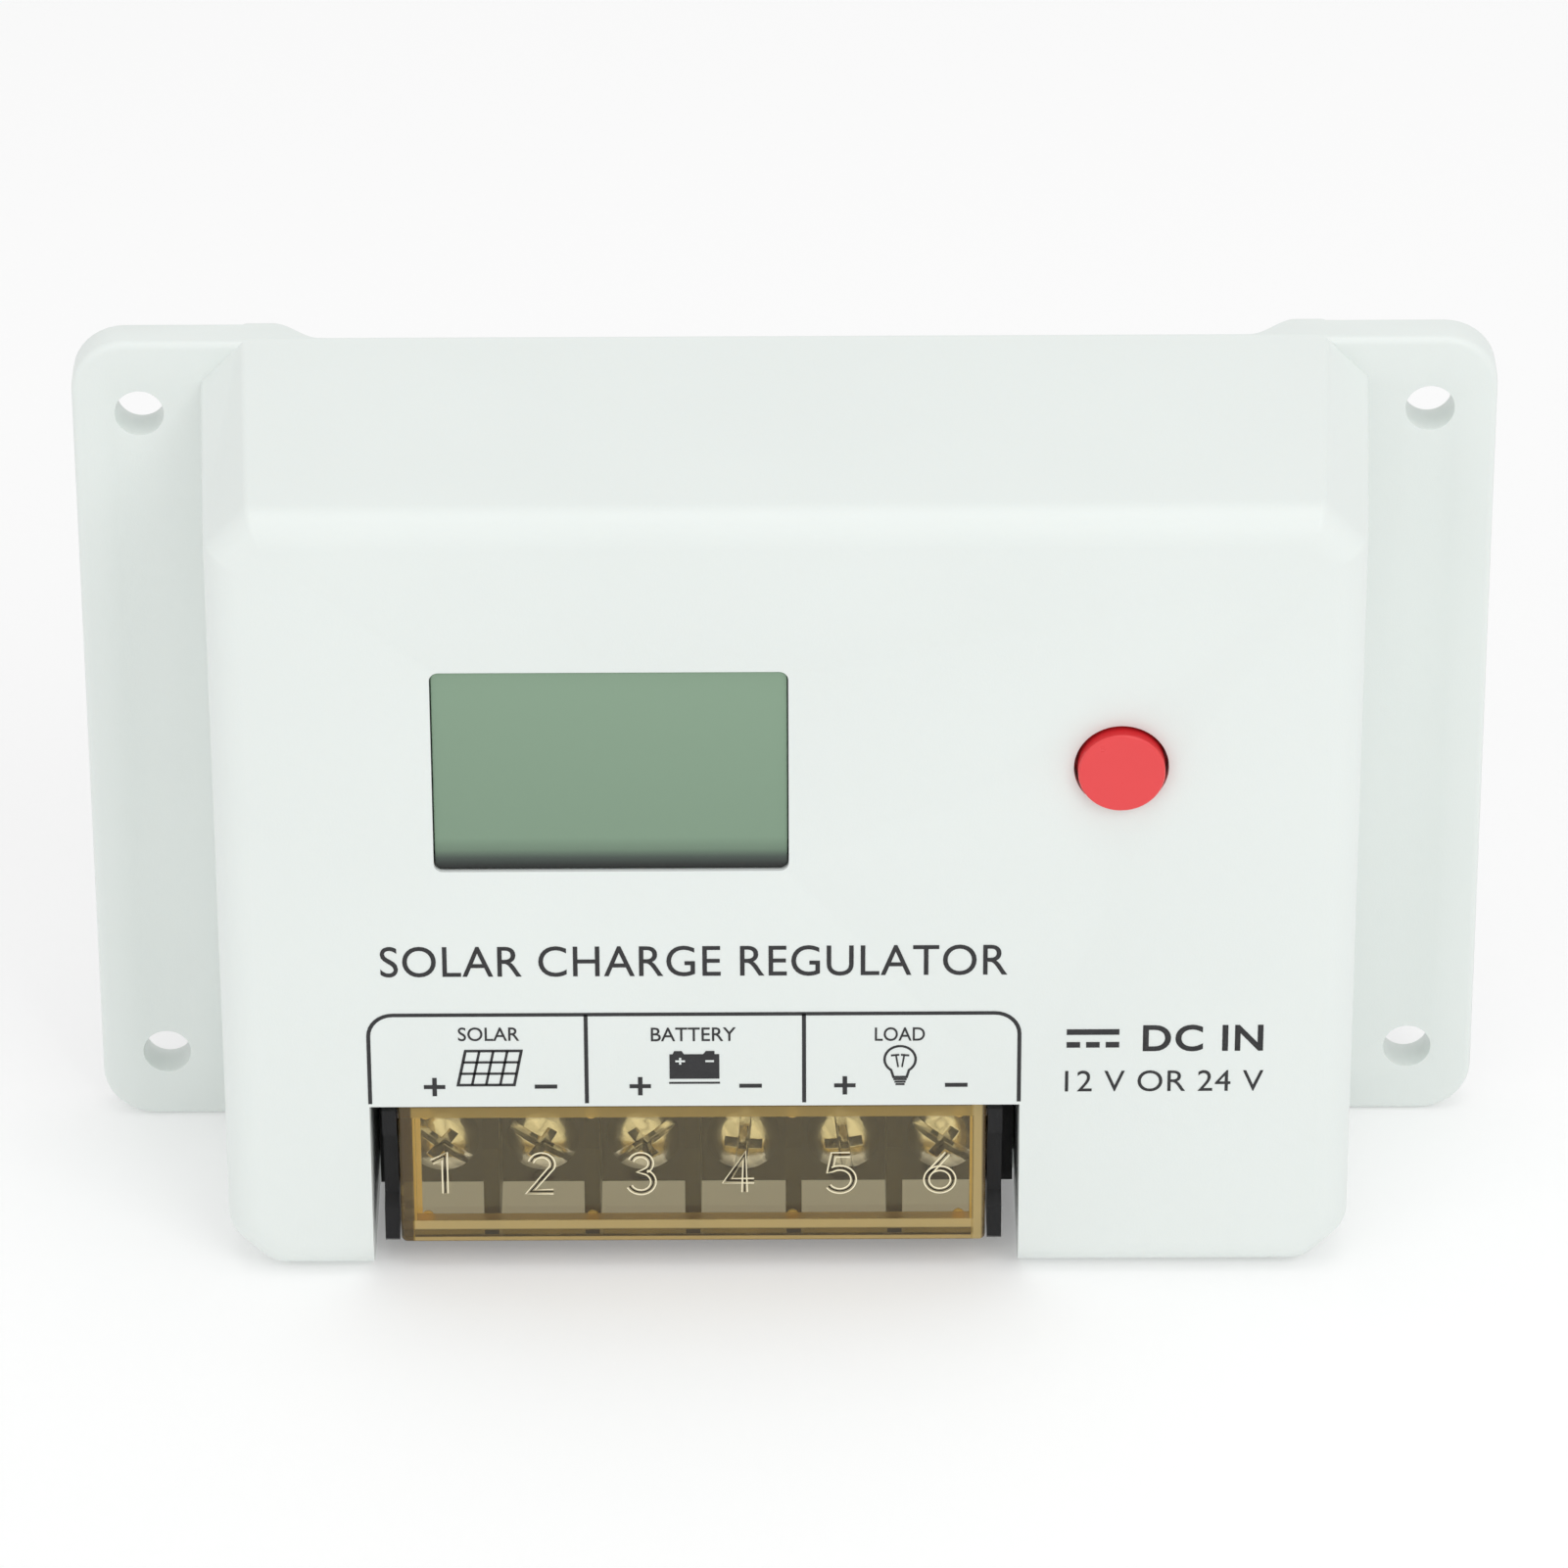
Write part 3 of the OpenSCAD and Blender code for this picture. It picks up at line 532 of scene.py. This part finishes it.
def body_ring(out, share, inset, n=5):
    """The body's outline at one depth: a rectangle with cut and softly rounded corners. share is
    how much of its walls' draft is reached there."""
    s = half_w - draft_side * share - inset
    t = half_h - draft_top * share - inset
    b = -half_h + draft_bottom * share + inset
    c = max(0.4, corner_cut - inset * (2 - math.sqrt(2)))
    pts = [Vector(p) for p in ((s, b + c), (s, t - c), (s - c, t), (-s + c, t),
                               (-s, t - c), (-s, b + c), (-s + c, b), (s - c, b))]
    ring = []
    for i, p in enumerate(pts):
        r = max(0.08, (corner_top_r if p.y > 0 else corner_low_r) - inset * 0.25)
        ring += rounded_corner(pts[i - 1], p, pts[(i + 1) % len(pts)], r, c * 0.47, n)
    return level(ring, out)


def body_solid(name, inset, out0, face, r, steps):
    """The body from out0 to its face, whose edge is rounded with radius r."""
    rings = [body_ring(out0, 0, inset), body_ring(flange_t, 0, inset)]
    for i in range(steps + 1):
        a = math.radians(90 * i / steps)
        rings.append(body_ring(face - r + r * math.sin(a), 1, inset + r * (1 - math.cos(a))))
    return loft(name, rings)


def flange_plate():
    """The flange with a rounded front edge and a small break at the wall."""
    rings = []
    for out, inset in ((0.0, 0.25), (0.25, 0.0), (flange_t - 0.7, 0.0), (flange_t - 0.43, 0.05),
                       (flange_t - 0.2, 0.2), (flange_t - 0.05, 0.43), (flange_t, 0.7)):
        rings.append(level(round_rect(hx[0] + inset, hx[1] - inset, hup[0] + inset, hup[1] - inset,
                                      flange_r - inset, 10), out))
    return loft("flange", rings)


def air_notch():
    """Opens the gap between the two flange pads, with an S-shaped end at each pad."""
    n, below = 16, -1.0
    prof = [(-pad_edge - pad_blend, below)]
    for side in (-1, 1):
        prof += [(side * pad_edge - pad_blend + 2 * pad_blend * i / n,
                  air_gap * (1 + side * math.cos(math.pi * i / n)) / 2) for i in range(n + 1)]
    prof.append((pad_edge + pad_blend, below))
    return loft("notch", [[(x, up, out) for x, out in prof] for up in (-FAR, FAR)])


def build_housing():
    ob = body_solid("housing_shell", 0, 0.0, front, front_r, 12)
    boolean(ob, flange_plate(), "UNION")
    boolean(ob, air_notch())
    cut = (front - 6, front + 2)                      # through the front panel
    boolean(ob, prism("window_cut", round_rect(*window, window_r), *cut))
    boolean(ob, rod("button_cut", *button, button_hole_r, *cut, 64))
    boolean(ob, block("recess_cut", recess_x, (-FAR, recess_top), (recess_back, cut[1])))
    for sx in (-1, 1):
        for sy in (-1, 1):
            boolean(ob, rod("hole_cut", sx * hole_x, sy * hole_up, hole_r, -2, 9, 48))
    tidy(ob, merge=0.02)
    bevel(ob, 0.3, 3, 38)
    inner = body_solid("inner", wall, -1.0, front - wall, front_r - 1.4, 6)
    boolean(inner, block("lining", (recess_x[0] - lining, recess_x[1] + lining), (-FAR, recess_top + lining),
                         (lining_back, FAR)))
    for x, up, out, r, depth, pilot_r in bosses:
        boolean(inner, rod("boss", x, up, r, out, FAR))
    boolean(ob, inner)
    for x, up, out, r, depth, pilot_r in bosses:
        boolean(ob, rod("pilot_cut", x, up, pilot_r, out - 0.5, out + depth, 24))
    tidy(ob, 30)
    piece(ob, "case", white, "housing_abs", "housing")


build_housing()

# ---------------------------------------------------------------- display and button


def build_lens():
    """The window: a wider base behind the panel and a soft front edge in its opening."""
    x0, x1, u0, u1 = window
    back, face = lens_out
    gap, step = 0.12, back + 0.7
    base = round_rect(x0 - lens_rim, x1 + lens_rim, u0 - lens_rim, u1 + lens_rim, 1.2)
    rings = [level(base, back), level(base, step)]
    for out, inset in ((step, gap), (face - 0.15, gap), (face - 0.04, gap + 0.05), (face, gap + 0.16)):
        rings.append(level(round_rect(x0 + inset, x1 - inset, u0 + inset, u1 - inset,
                                      window_r - min(inset, 0.3)), out))
    piece(loft("display_window", rings), "case", display, "lens_clear", "display_lens")


build_lens()


def build_button():
    """A hollow cap with a soft top edge, a flange behind the panel and a post to the switch."""
    x, up = button
    back, top = button_out
    r, skin, flange, rim, soft = button_hole_r - 0.35, 1.1, 1.15, back + 1.0, 0.26
    prof = [(0, top - skin), (r - skin, top - skin), (r - skin, back), (r + flange, back),
            (r + flange, rim), (r, rim), (r, top - soft)]
    prof += arc(r - soft, top - soft, soft, 15, 90, 5) + [(r * 0.5, top), (0, top)]
    ob = revolve("button_cap_red", x, up, prof, 96)
    boolean(ob, rod("post", x, up, 1.4, back + 0.95, top - 1.0), "UNION")
    tidy(ob, 40)
    piece(ob, "button", [red, red_side_painted_shade], "button_red", "button_cap")
    # the side wall takes the darker red, painted shade
    for p in ob.data.polygons:
        side = abs(p.normal.y) < 0.3 and (p.center - P(x, up, top)).length < 6 * MM
        p.material_index = 1 if side else 0


build_button()

# ---------------------------------------------------------------- printed legend

ink_t, ink_sink = 0.03, 0.005                         # how far print stands out of the panel and sinks in


def ribbon(points, w, closed=False, t=ink_t, base=front):
    """Vertices and faces of a thin raised line of width w through (x, up) points."""
    pts = [Vector(p) for p in points]
    n = len(pts)
    left, right = [], []
    for i, p in enumerate(pts):
        a = pts[i - 1] if (i > 0 or closed) else None
        b = pts[(i + 1) % n] if (i < n - 1 or closed) else None
        d0 = (p - a).normalized() if a is not None else None
        d1 = (b - p).normalized() if b is not None else None
        d0 = d0 or d1
        d1 = d1 or d0
        n0, n1 = Vector((-d0.y, d0.x)), Vector((-d1.y, d1.x))
        mid = (n0 + n1).normalized()
        k = w / 2 / max(0.35, mid.dot(n1))
        left.append(p + mid * k)
        right.append(p - mid * k)
    verts = [P(q.x, q.y, base + o) for q in left + right for o in (-ink_sink, t)]

    def v(side, i, top):
        return (side * n + i % n) * 2 + top

    faces = []
    for i in range(n if closed else n - 1):
        faces += [(v(0, i, 1), v(0, i + 1, 1), v(1, i + 1, 1), v(1, i, 1)),
                  (v(0, i, 0), v(1, i, 0), v(1, i + 1, 0), v(0, i + 1, 0)),
                  (v(0, i, 0), v(0, i + 1, 0), v(0, i + 1, 1), v(0, i, 1)),
                  (v(1, i, 0), v(1, i, 1), v(1, i + 1, 1), v(1, i + 1, 0))]
    if not closed:
        for i in (0, n - 1):
            faces.append((v(0, i, 0), v(0, i, 1), v(1, i, 1), v(1, i, 0)))
    return verts, faces


def plate(outline):
    """Vertices and faces of a filled printed shape."""
    n = len(outline)
    verts = [P(x, up, front + o) for o in (-ink_sink, ink_t) for x, up in outline]
    faces = [tuple(range(n))[::-1], tuple(range(n, 2 * n))]
    faces += [(i, (i + 1) % n, n + (i + 1) % n, n + i) for i in range(n)]
    return verts, faces


def merged(parts):
    """One list of vertices and one of faces from several such pairs."""
    verts, faces = [], []
    for v, f in parts:
        k = len(verts)
        verts += v
        faces += [tuple(i + k for i in g) for g in f]
    return verts, faces


def joined(name, parts):
    return make(name, *merged(parts), smooth=False)


def lettering(name, text, x, up, width, height, weight, spacing):
    """Plain lettering on the front panel, its capitals fitted to width x height at (x, up)."""
    cu = bpy.data.curves.new(name, "FONT")
    cu.body, cu.size, cu.resolution_u, cu.space_character, cu.offset = text, 1.0, 6, spacing, weight
    flat = add_object(name, cu)
    bpy.context.view_layer.update()
    me = bpy.data.meshes.new_from_object(flat.evaluated_get(bpy.context.evaluated_depsgraph_get()))
    bpy.data.objects.remove(flat)
    xs = [v.co.x for v in me.vertices]
    ys = [v.co.y for v in me.vertices]
    x0, y0 = min(xs), min(ys)
    sx, sy = width / (max(xs) - x0), height / (max(ys) - y0)
    bm = bmesh.new()
    bm.from_mesh(me)
    bmesh.ops.remove_doubles(bm, verts=bm.verts, dist=1e-5)
    for v in bm.verts:
        v.co = P(x + (v.co.x - x0) * sx, up + (v.co.y - y0) * sy, front - ink_sink)
    raised = bmesh.ops.extrude_face_region(bm, geom=bm.faces[:])
    for g in raised["geom"]:
        if isinstance(g, bmesh.types.BMVert):
            g.co += P(0, 0, ink_t + ink_sink)
    bmesh.ops.recalc_face_normals(bm, faces=bm.faces)
    solid = bpy.data.meshes.new(name)
    bm.to_mesh(solid)
    bm.free()
    bpy.data.meshes.remove(me)
    return add_object(name, solid)


def frame_lines():
    """The frame of three cells over the terminals, with a plus and a minus in each."""
    left, right, top, low, r, w = -39.0, 21.6, -13.2, recess_top + 0.35, 2.3, 0.37
    parts = [ribbon([(left, low)] + arc(left + r, top - r, r, 180, 90, 8)
                    + arc(right - r, top - r, r, 90, 0, 8) + [(right, low)], w)]
    parts += [ribbon([(x, top), (x, low)], w) for x in (-18.75, 1.55)]
    sign_up, sign_w, arm, bar = -21.1, 0.42, 1.0, 1.05
    for x in (-32.95, -13.75, 5.35):
        parts.append(ribbon([(x - arm, sign_up), (x + arm, sign_up)], sign_w))
        for s in (-1, 1):
            parts.append(ribbon([(x, sign_up + s * sign_w / 2), (x, sign_up + s * arm)], sign_w))
    for x in (-22.55, -3.45, 15.75):
        parts.append(ribbon([(x - bar, sign_up), (x + bar, sign_up)], sign_w))
    return parts


def panel_sign():
    """A solar panel: a leaning grid of three rows and four columns."""
    x0, x1, lean, y0, y1 = -30.75, -25.35, 0.75, -20.9, -17.15
    foot, head = x1 - lean * 0.2, x1 + lean * 0.75
    parts = [ribbon([(x0, y0), (foot, y0), (head, y1), (x0 + lean, y1)], 0.27, True)]
    for f in (0.25, 0.5, 0.75):
        parts.append(ribbon([(x0 + (foot - x0) * f, y0), (x0 + lean + (head - x0 - lean) * f, y1)], 0.24))
    for f in (1 / 3, 2 / 3):
        up = y0 + (y1 - y0) * f
        parts.append(ribbon([(x0 + lean * f, up), (foot + (head - foot) * f, up)], 0.24))
    return parts


def battery_sign():
    """A battery: a solid case with two posts over a line."""
    return [plate([(-11.0, -20.3), (-6.35, -20.3), (-6.35, -17.6), (-6.8, -17.6), (-6.8, -17.25),
                   (-7.6, -17.25), (-7.85, -17.6), (-9.65, -17.6), (-9.85, -17.25), (-10.55, -17.25),
                   (-10.7, -17.6), (-11.0, -17.6)]),
            ribbon([(-11.05, -20.75), (-6.3, -20.75)], 0.2)]


def battery_marks():
    """A plus and a minus on the battery's case."""
    lines = ([(-10.45, -18.35), (-9.55, -18.35)], [(-10.0, -17.98), (-10.0, -18.23)],
             [(-10.0, -18.47), (-10.0, -18.72)], [(-7.65, -18.35), (-6.85, -18.35)])
    return [ribbon(line, 0.2, t=0.045) for line in lines]


def lamp_sign():
    """A lamp: globe, filament and cap."""
    x, up, neck = 10.5, -18.25, 0.62
    globe = arc(x, up, 1.45, -55, 235, 28) + [(x - neck, up - 1.95), (x + neck, up - 1.95)]
    parts = [ribbon(globe, 0.23, True)]
    for s in (-1, 1):
        parts.append(ribbon([(x + s * 0.18, up - 0.85), (x + s * 0.38, up + 0.42)], 0.16))
        parts.append(ribbon([(x + s * 0.08, up + 0.5), (x + s * 0.85, up + 0.42)], 0.2))
    for k in range(3):
        half, line_up = neck - 0.1 * k, up - 2.2 - 0.27 * k
        parts.append(ribbon([(x - half, line_up), (x + half, line_up)], 0.2))
    return parts


def direct_current_sign():
    """The sign for direct current: a long bar over three short ones."""
    x, w, dash, step = 26.0, 0.6, 1.26, 1.82
    return ([ribbon([(x, -15.35), (x + 4.9, -15.35)], w)]
            + [ribbon([(x + step * k, -16.75), (x + dash + step * k, -16.75)], w) for k in range(3)])


def legend():
    lines = frame_lines() + panel_sign() + battery_sign() + lamp_sign() + direct_current_sign()
    piece(joined("legend_lines", lines), "case", ink, "housing_abs")
    piece(joined("legend_marks", battery_marks()), "case", white, "housing_abs")
    # piece, text, x, up, width, height, weight of the strokes, spacing of the letters
    words = [("title", "SOLAR CHARGE REGULATOR", -37.7, -9.05, 58.1, 3.3, 0.0, 1.04),
             ("word_solar", "SOLAR", -30.65, -16.05, 5.7, 1.48, 0.004, 1.0),
             ("word_battery", "BATTERY", -12.7, -16.15, 7.9, 1.48, 0.004, 1.0),
             ("word_load", "LOAD", 8.15, -16.22, 4.65, 1.48, 0.004, 1.0),
             ("word_dc", "DC IN", 33.1, -17.5, 11.2, 2.9, 0.02, 1.1),
             ("word_volts", "12 V OR 24 V", 25.9, -21.9, 18.5, 2.3, -0.002, 1.05)]
    for word in words:
        piece(lettering(*word), "case", ink, "housing_abs")


legend()

# ---------------------------------------------------------------- terminal cover

cover_wall, lip_low, lip_high = 1.2, 0.9, 1.1         # the plate and side walls, and the two long edges
cover_rear, cover_face = cover_out
cover_back = cover_face - cover_wall
pin_up, pin_out, pin_r, pin_end = -25.9, 29.3, 0.7, 28.95


def cover_tray():
    """A shallow tray, soft along its front edges, open at the bottom and top but for low lips,
    notched over the barriers, with a hinge pin at each end."""
    x0, x1 = centre_x - cover_half, centre_x + cover_half
    low, high = cover_up
    rings = []
    for out, inset in ((cover_rear, 0.2), (cover_rear + 0.2, 0.0), (cover_face - 0.4, 0.0),
                       (cover_face - 0.25, 0.03), (cover_face - 0.12, 0.12), (cover_face - 0.03, 0.25),
                       (cover_face, 0.4)):
        rings.append(level(round_rect(x0 + inset, x1 - inset, low + inset, high - inset,
                                      0.55 - inset * 0.8, 6), out))
    ob = loft("cover_tray", rings)
    inside, behind = (x0 + cover_wall, x1 - cover_wall), cover_rear - 1
    rings = []
    for out, grow in ((behind, 0.1), (cover_back - 0.3, 0.0), (cover_back, -0.3)):
        rings.append(level(round_rect(inside[0] - grow, inside[1] + grow, low + lip_low - grow,
                                      high - lip_high + grow, 0.5, 4), out))
    boolean(ob, loft("inner", rings))
    boolean(ob, block("top_cut", inside, (high - 2, high + 1), (behind, cover_back - 1.7)))
    boolean(ob, block("low_cut", inside, (low - 1, low + 2), (behind, cover_back - 1.3)))
    for way in ways[1:]:
        x = way - pitch / 2
        boolean(ob, block("notch_cut", (x - 1.0, x + 1.0), (low - 1, low + 2), (behind, cover_back - 0.1)))
    for s in (-1, 1):
        ends = sorted((centre_x + s * (cover_half - 0.5), centre_x + s * pin_end))
        pin = rod("pin", 0, 0, pin_r, *ends)
        pin.data.transform(Matrix.Rotation(math.radians(90), 4, "Z"))
        pin.data.transform(Matrix.Translation(P(0, pin_up, pin_out)))
        boolean(ob, pin, "UNION")
    tidy(ob, 30, merge=0.01)
    return ob


def cover_beads():
    """Thick golden beads where the plate meets its side walls, and round pips along both long edges."""
    low, high = cover_up
    root, inner = cover_back - 0.02, cover_half - 1.22
    parts = []
    for s, wide in ((-1, 0.78), (1, 0.25)):
        xs = sorted((centre_x + s * inner, centre_x + s * (inner - wide)))
        parts.append(block("bead", xs, (low + 1.0, high - 1.2), (cover_back - 0.9, root)))
    for x in (-34.0, -18.45, 0.45, 16.1):
        for up in (low + 2.05, high - 1.75):
            parts.append(revolve("pip", x, up, [
                (0, cover_back - 0.75), (0.3, cover_back - 0.7), (0.52, cover_back - 0.5),
                (0.6, cover_back - 0.25), (0.6, root), (0, root)], 24))
    verts, faces = merged([([v.co.copy() for v in q.data.vertices],
                            [tuple(p.vertices) for p in q.data.polygons]) for q in parts])
    for q in parts:
        bpy.data.objects.remove(q)
    return make("cover_beads", verts, faces)


def build_cover():
    ob = cover_tray()
    piece(ob, "cover", [amber, amber_lip, amber_groove_painted_shade], "amber_cover", "terminal_cover")
    low = cover_up[0]
    # lip tops take the rim amber with its painted glow, notch walls the dark brown as painted shade
    for p in ob.data.polygons:
        x, up, out = p.center.x / MM, p.center.z / MM, -p.center.y / MM
        lip = p.normal.z > 0.7 and up < low + 1.2 and out < cover_back
        notch = (abs(p.normal.x) > 0.7 and up < low + 0.92 and out < cover_back - 0.05
                 and abs(x - centre_x) < 20)
        p.material_index = 2 if notch else 1 if lip else 0
    piece(cover_beads(), "cover", amber_edge, "amber_cover")


build_cover()

# ---------------------------------------------------------------- numerals on the cover

# centre lines in a box 2.5 wide and 4.2 high; the last value says whether the line closes
numerals = [
    ([(-0.9, 1.4), (0.3, 2.05), (0.3, -2.1)], False),
    (arc(0.05, 1.08, 1.02, 165, -20, 14) + [(-1.05, -1.98), (1.12, -1.98)], False),
    (arc(0.0, 1.14, 0.95, 160, -58, 14) + [(0.12, 0.2)] + arc(0.0, -0.92, 1.18, 62, -155, 16), False),
    ([(0.4, -2.1), (0.4, 2.0), (-1.25, -0.85), (1.3, -0.85)], False),
    ([(0.95, 2.0), (-0.6, 2.0), (-0.9, 0.3)] + arc(0.0, -0.75, 1.3, 122, -145, 18), False),
    ([(0.75, 2.1)] + arc(0.05, -0.8, 1.25, 148, 148 + 352, 26), False),
]
numeral_x, numeral_step, numeral_up = centre_x - 0.2, 9.36, -31.7
ridge_off, ridge_r = 0.25, 0.08


def offset_path(pts, d, closed):
    """The points of a line moved sideways by d."""
    pts = [Vector(p) for p in pts]
    n, res = len(pts), []
    for i, p in enumerate(pts):
        a = p - pts[i - 1] if (i or closed) else pts[1] - p
        b = pts[(i + 1) % n] - p if (i < n - 1 or closed) else a
        a, b = a.normalized(), b.normalized()
        m = (Vector((-a.y, a.x)) + Vector((-b.y, b.x))).normalized()
        res.append(p + m * d / max(0.5, m.dot(Vector((-b.y, b.x)))))
    return res


def tube(pts, r, out, closed, sides=8):
    """Vertices and faces of a round bead of radius r through (x, up) points."""
    n = len(pts)
    verts, faces = [], []
    for i, p in enumerate(pts):
        a = pts[i - 1] if (i or closed) else p
        b = pts[(i + 1) % n] if (i < n - 1 or closed) else p
        d = (Vector(b) - Vector(a)).normalized()
        for k in range(sides):
            t = 2 * math.pi * k / sides
            verts.append(P(p[0] - d.y * r * math.cos(t), p[1] + d.x * r * math.cos(t), out + r * math.sin(t)))
    for i in range(n if closed else n - 1):
        for k in range(sides):
            j, q = (i + 1) % n, (k + 1) % sides
            faces.append((i * sides + k, i * sides + q, j * sides + q, j * sides + k))
    if not closed:
        faces += [tuple(range(sides)), tuple((n - 1) * sides + k for k in range(sides))[::-1]]
    return verts, faces


def build_digit(i):
    """A numeral moulded in the cover as a groove between two fine ridges; the ridges' cream is painted
    highlight and a dark strip along the groove is painted shade.
    """
    x = numeral_x + (i - 2.5) * numeral_step
    points, closed = numerals[i]
    pts = [(x + a, numeral_up + b) for a, b in points]
    ridges = [tube(offset_path(pts, d, closed), ridge_r, cover_face + 0.02, closed)
              for d in (-ridge_off, ridge_off)]
    ob = joined("cover_digit_%d" % (i + 1), ridges)
    tidy(ob, 80)
    piece(ob, "cover", amber_line_painted_highlight, "amber_cover")
    # painted shade: a thin dark strip laid along the groove
    groove = [ribbon(pts, 0.13, closed, t=0.012, base=cover_face)]
    piece(joined("cover_groove_shade_%d" % (i + 1), groove), "cover", amber_groove_painted_shade, "amber_cover")


for i in range(6):
    build_digit(i)

# ---------------------------------------------------------------- terminal screws

screw_up, head_h, head_r, crown_r = -32.8, 2.4, 3.4, 11.24
shank_r, root_r, thread = 1.45, 1.22, 0.5
slot_angles = (-38, -32, 36, 84, 97, -36)
slot_w = 0.62                                         # half the width of the slot and the cross at the top


def screw_profile(tip, top):
    """Threaded shank, head's rim and crown as (radius, out) points."""
    base = top - head_h
    prof = [(0, tip), (1.0, tip)]
    out = tip + 0.3
    while out < base - 0.6:
        prof += [(shank_r, out), (shank_r, out + 0.1), (root_r, out + 0.25), (root_r, out + 0.3)]
        out += thread
    edge = base + 1.62
    prof += [(shank_r, base - 0.1), (shank_r, base), (head_r - 0.25, base), (head_r - 0.07, base + 0.07),
             (head_r, base + 0.25), (head_r, edge - 0.1), (head_r - 0.04, edge + 0.05),
             (head_r - 0.14, edge + 0.19), (head_r - 0.3, edge + 0.29)]
    n = 12
    for k in range(1, n + 1):
        r = (head_r - 0.42) * (1 - k / n)
        prof.append((r, top - crown_r + math.sqrt(crown_r * crown_r - r * r)))
    return prof


def build_screw(i):
    """Pan-head screw with a full slot and a tapered cross recess, its shank threaded."""
    node = "terminal_screw_%d" % (i + 1)
    tip, top = span(node)[2]
    ob = revolve("screw_%d" % (i + 1), ways[i], screw_up, screw_profile(tip, top))
    turn = math.radians(slot_angles[i])

    def taper(mouth, floor, deep):
        """A cutter into the crown; mouth and floor are its half length and half width."""
        rings = []
        for (a, b), out in ((floor, top - deep), (mouth, top + 0.6)):
            rings.append([(ways[i] + x * math.cos(turn) - y * math.sin(turn),
                           screw_up + x * math.sin(turn) + y * math.cos(turn), out)
                          for x, y in ((-a, -b), (a, -b), (a, b), (-a, b))])
        return loft("taper", rings)

    boolean(ob, taper((head_r + 1, slot_w), (head_r + 1, 0.46), 1.0))
    boolean(ob, taper((2.0, slot_w), (1.0, 0.3), 1.7))
    boolean(ob, taper((slot_w, 2.15), (0.3, 1.0), 1.7))
    tidy(ob, 30, merge=0.01)
    bevel(ob, 0.06, 2, 40)
    tidy(ob, 35)
    piece(ob, "screw_%d" % (i + 1), nickel, "plated_steel", node)


for i in range(6):
    build_screw(i)

# ---------------------------------------------------------------- carried-over CAD nodes

washers = ["clamp_washer_%d" % (i + 1) for i in range(6)]
looks = {
    "back_plate": rolled, "back_plate_screws": zinc, "lcd_panel": display, "lcd_backlight": diffuser,
    "lcd_pins": tin, "display_board": board, "display_board_screws": zinc, "switch_body": chip,
    "switch_plunger": chip, "header_socket": chip, "header_pins": chip, "main_board": board,
    "main_board_screws": zinc, "terminal_body": black, "terminal_contacts": brass, "thermal_pad": pad,
    "mosfet_bodies": chip, "mosfet_tabs": tin, "mosfet_clamp_bar": zinc, "clamp_bar_screws": zinc,
    "capacitors": can, "capacitor_sleeves": sleeve, "surge_diodes": chip, "shunt_resistor": copper,
    "microcontroller": chip, "driver_chips": chip, "crystal": can, "chip_components": ceramic,
    "temperature_sensor": chip, **{node: brass for node in washers},
}
for node, look in looks.items():
    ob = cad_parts[node]
    if not ob.data.materials:
        ob.data.materials.append(look)
    for s in ob.material_slots:
        s.material = look
soften("terminal_body", 0.18, 3)
soften("back_plate", 0.2, 2)
for node in washers:
    soften(node, 0.1, 2)

# ---------------------------------------------------------------- floor, light and camera

floor_z = cad_box[0][2] - 0.05 * MM
floor = make("studio_floor", [(x, y, floor_z) for x, y in ((-6, -4), (6, -4), (6, 8), (-6, 8))],
             [(0, 1, 2, 3)], smooth=False)
paint(floor, material("floor_pale", (0.78, 0.78, 0.78), 0.9, vary=0.004, vary_scale=3, grain=200, bump=0.0,
                      Emission_Color=(1, 1, 1, 1), Emission_Strength=0.22))

world = bpy.data.worlds.new("studio")
bpy.context.scene.world = world
world.use_nodes = True
sky = world.node_tree.nodes["Background"]
sky.inputs["Color"].default_value = (1.0, 1.0, 1.0, 1)
sky.inputs["Strength"].default_value = 0.74


def soft_light(name, at, power):
    """A square soft box at a place in metres, turned towards the part."""
    lamp = bpy.data.lights.new(name, "AREA")
    lamp.shape, lamp.size, lamp.energy = "SQUARE", 0.6, power
    at = Vector(at)
    turn = (-at).to_track_quat("-Z", "Y").to_matrix().to_4x4()
    add_object(name, lamp).matrix_world = Matrix.Translation(at) @ turn


soft_light("key", (0.55, -0.85, 0.8), 2.6)
soft_light("fill", (-0.7, -0.8, 0.5), 0.8)
soft_light("top", (0.05, -0.1, 0.95), 1.5)


def build_camera():
    """A long lens in front of the part and above it, looking down at the panel."""
    eye = Vector((-0.00093, -0.75514, 0.43727))
    down, roll, yaw = math.radians(30.505), math.radians(-0.215), math.radians(0.056)
    data = bpy.data.cameras.new("camera")
    data.sensor_width, data.lens, data.clip_start, data.clip_end = 36, 210.3, 0.01, 50
    ahead = Vector((math.sin(yaw) * math.cos(down), math.cos(yaw) * math.cos(down), -math.sin(down)))
    level_x = Vector((math.cos(yaw), -math.sin(yaw), 0))
    level_y = level_x.cross(ahead)
    right = level_x * math.cos(roll) + level_y * math.sin(roll)
    up = level_y * math.cos(roll) - level_x * math.sin(roll)
    camera = add_object("camera", data)
    camera.matrix_world = Matrix.Translation(eye) @ Matrix((right, up, -ahead)).transposed().to_4x4()
    return camera


bpy.context.scene.camera = build_camera()
bpy.context.scene.view_settings.view_transform = "Standard"
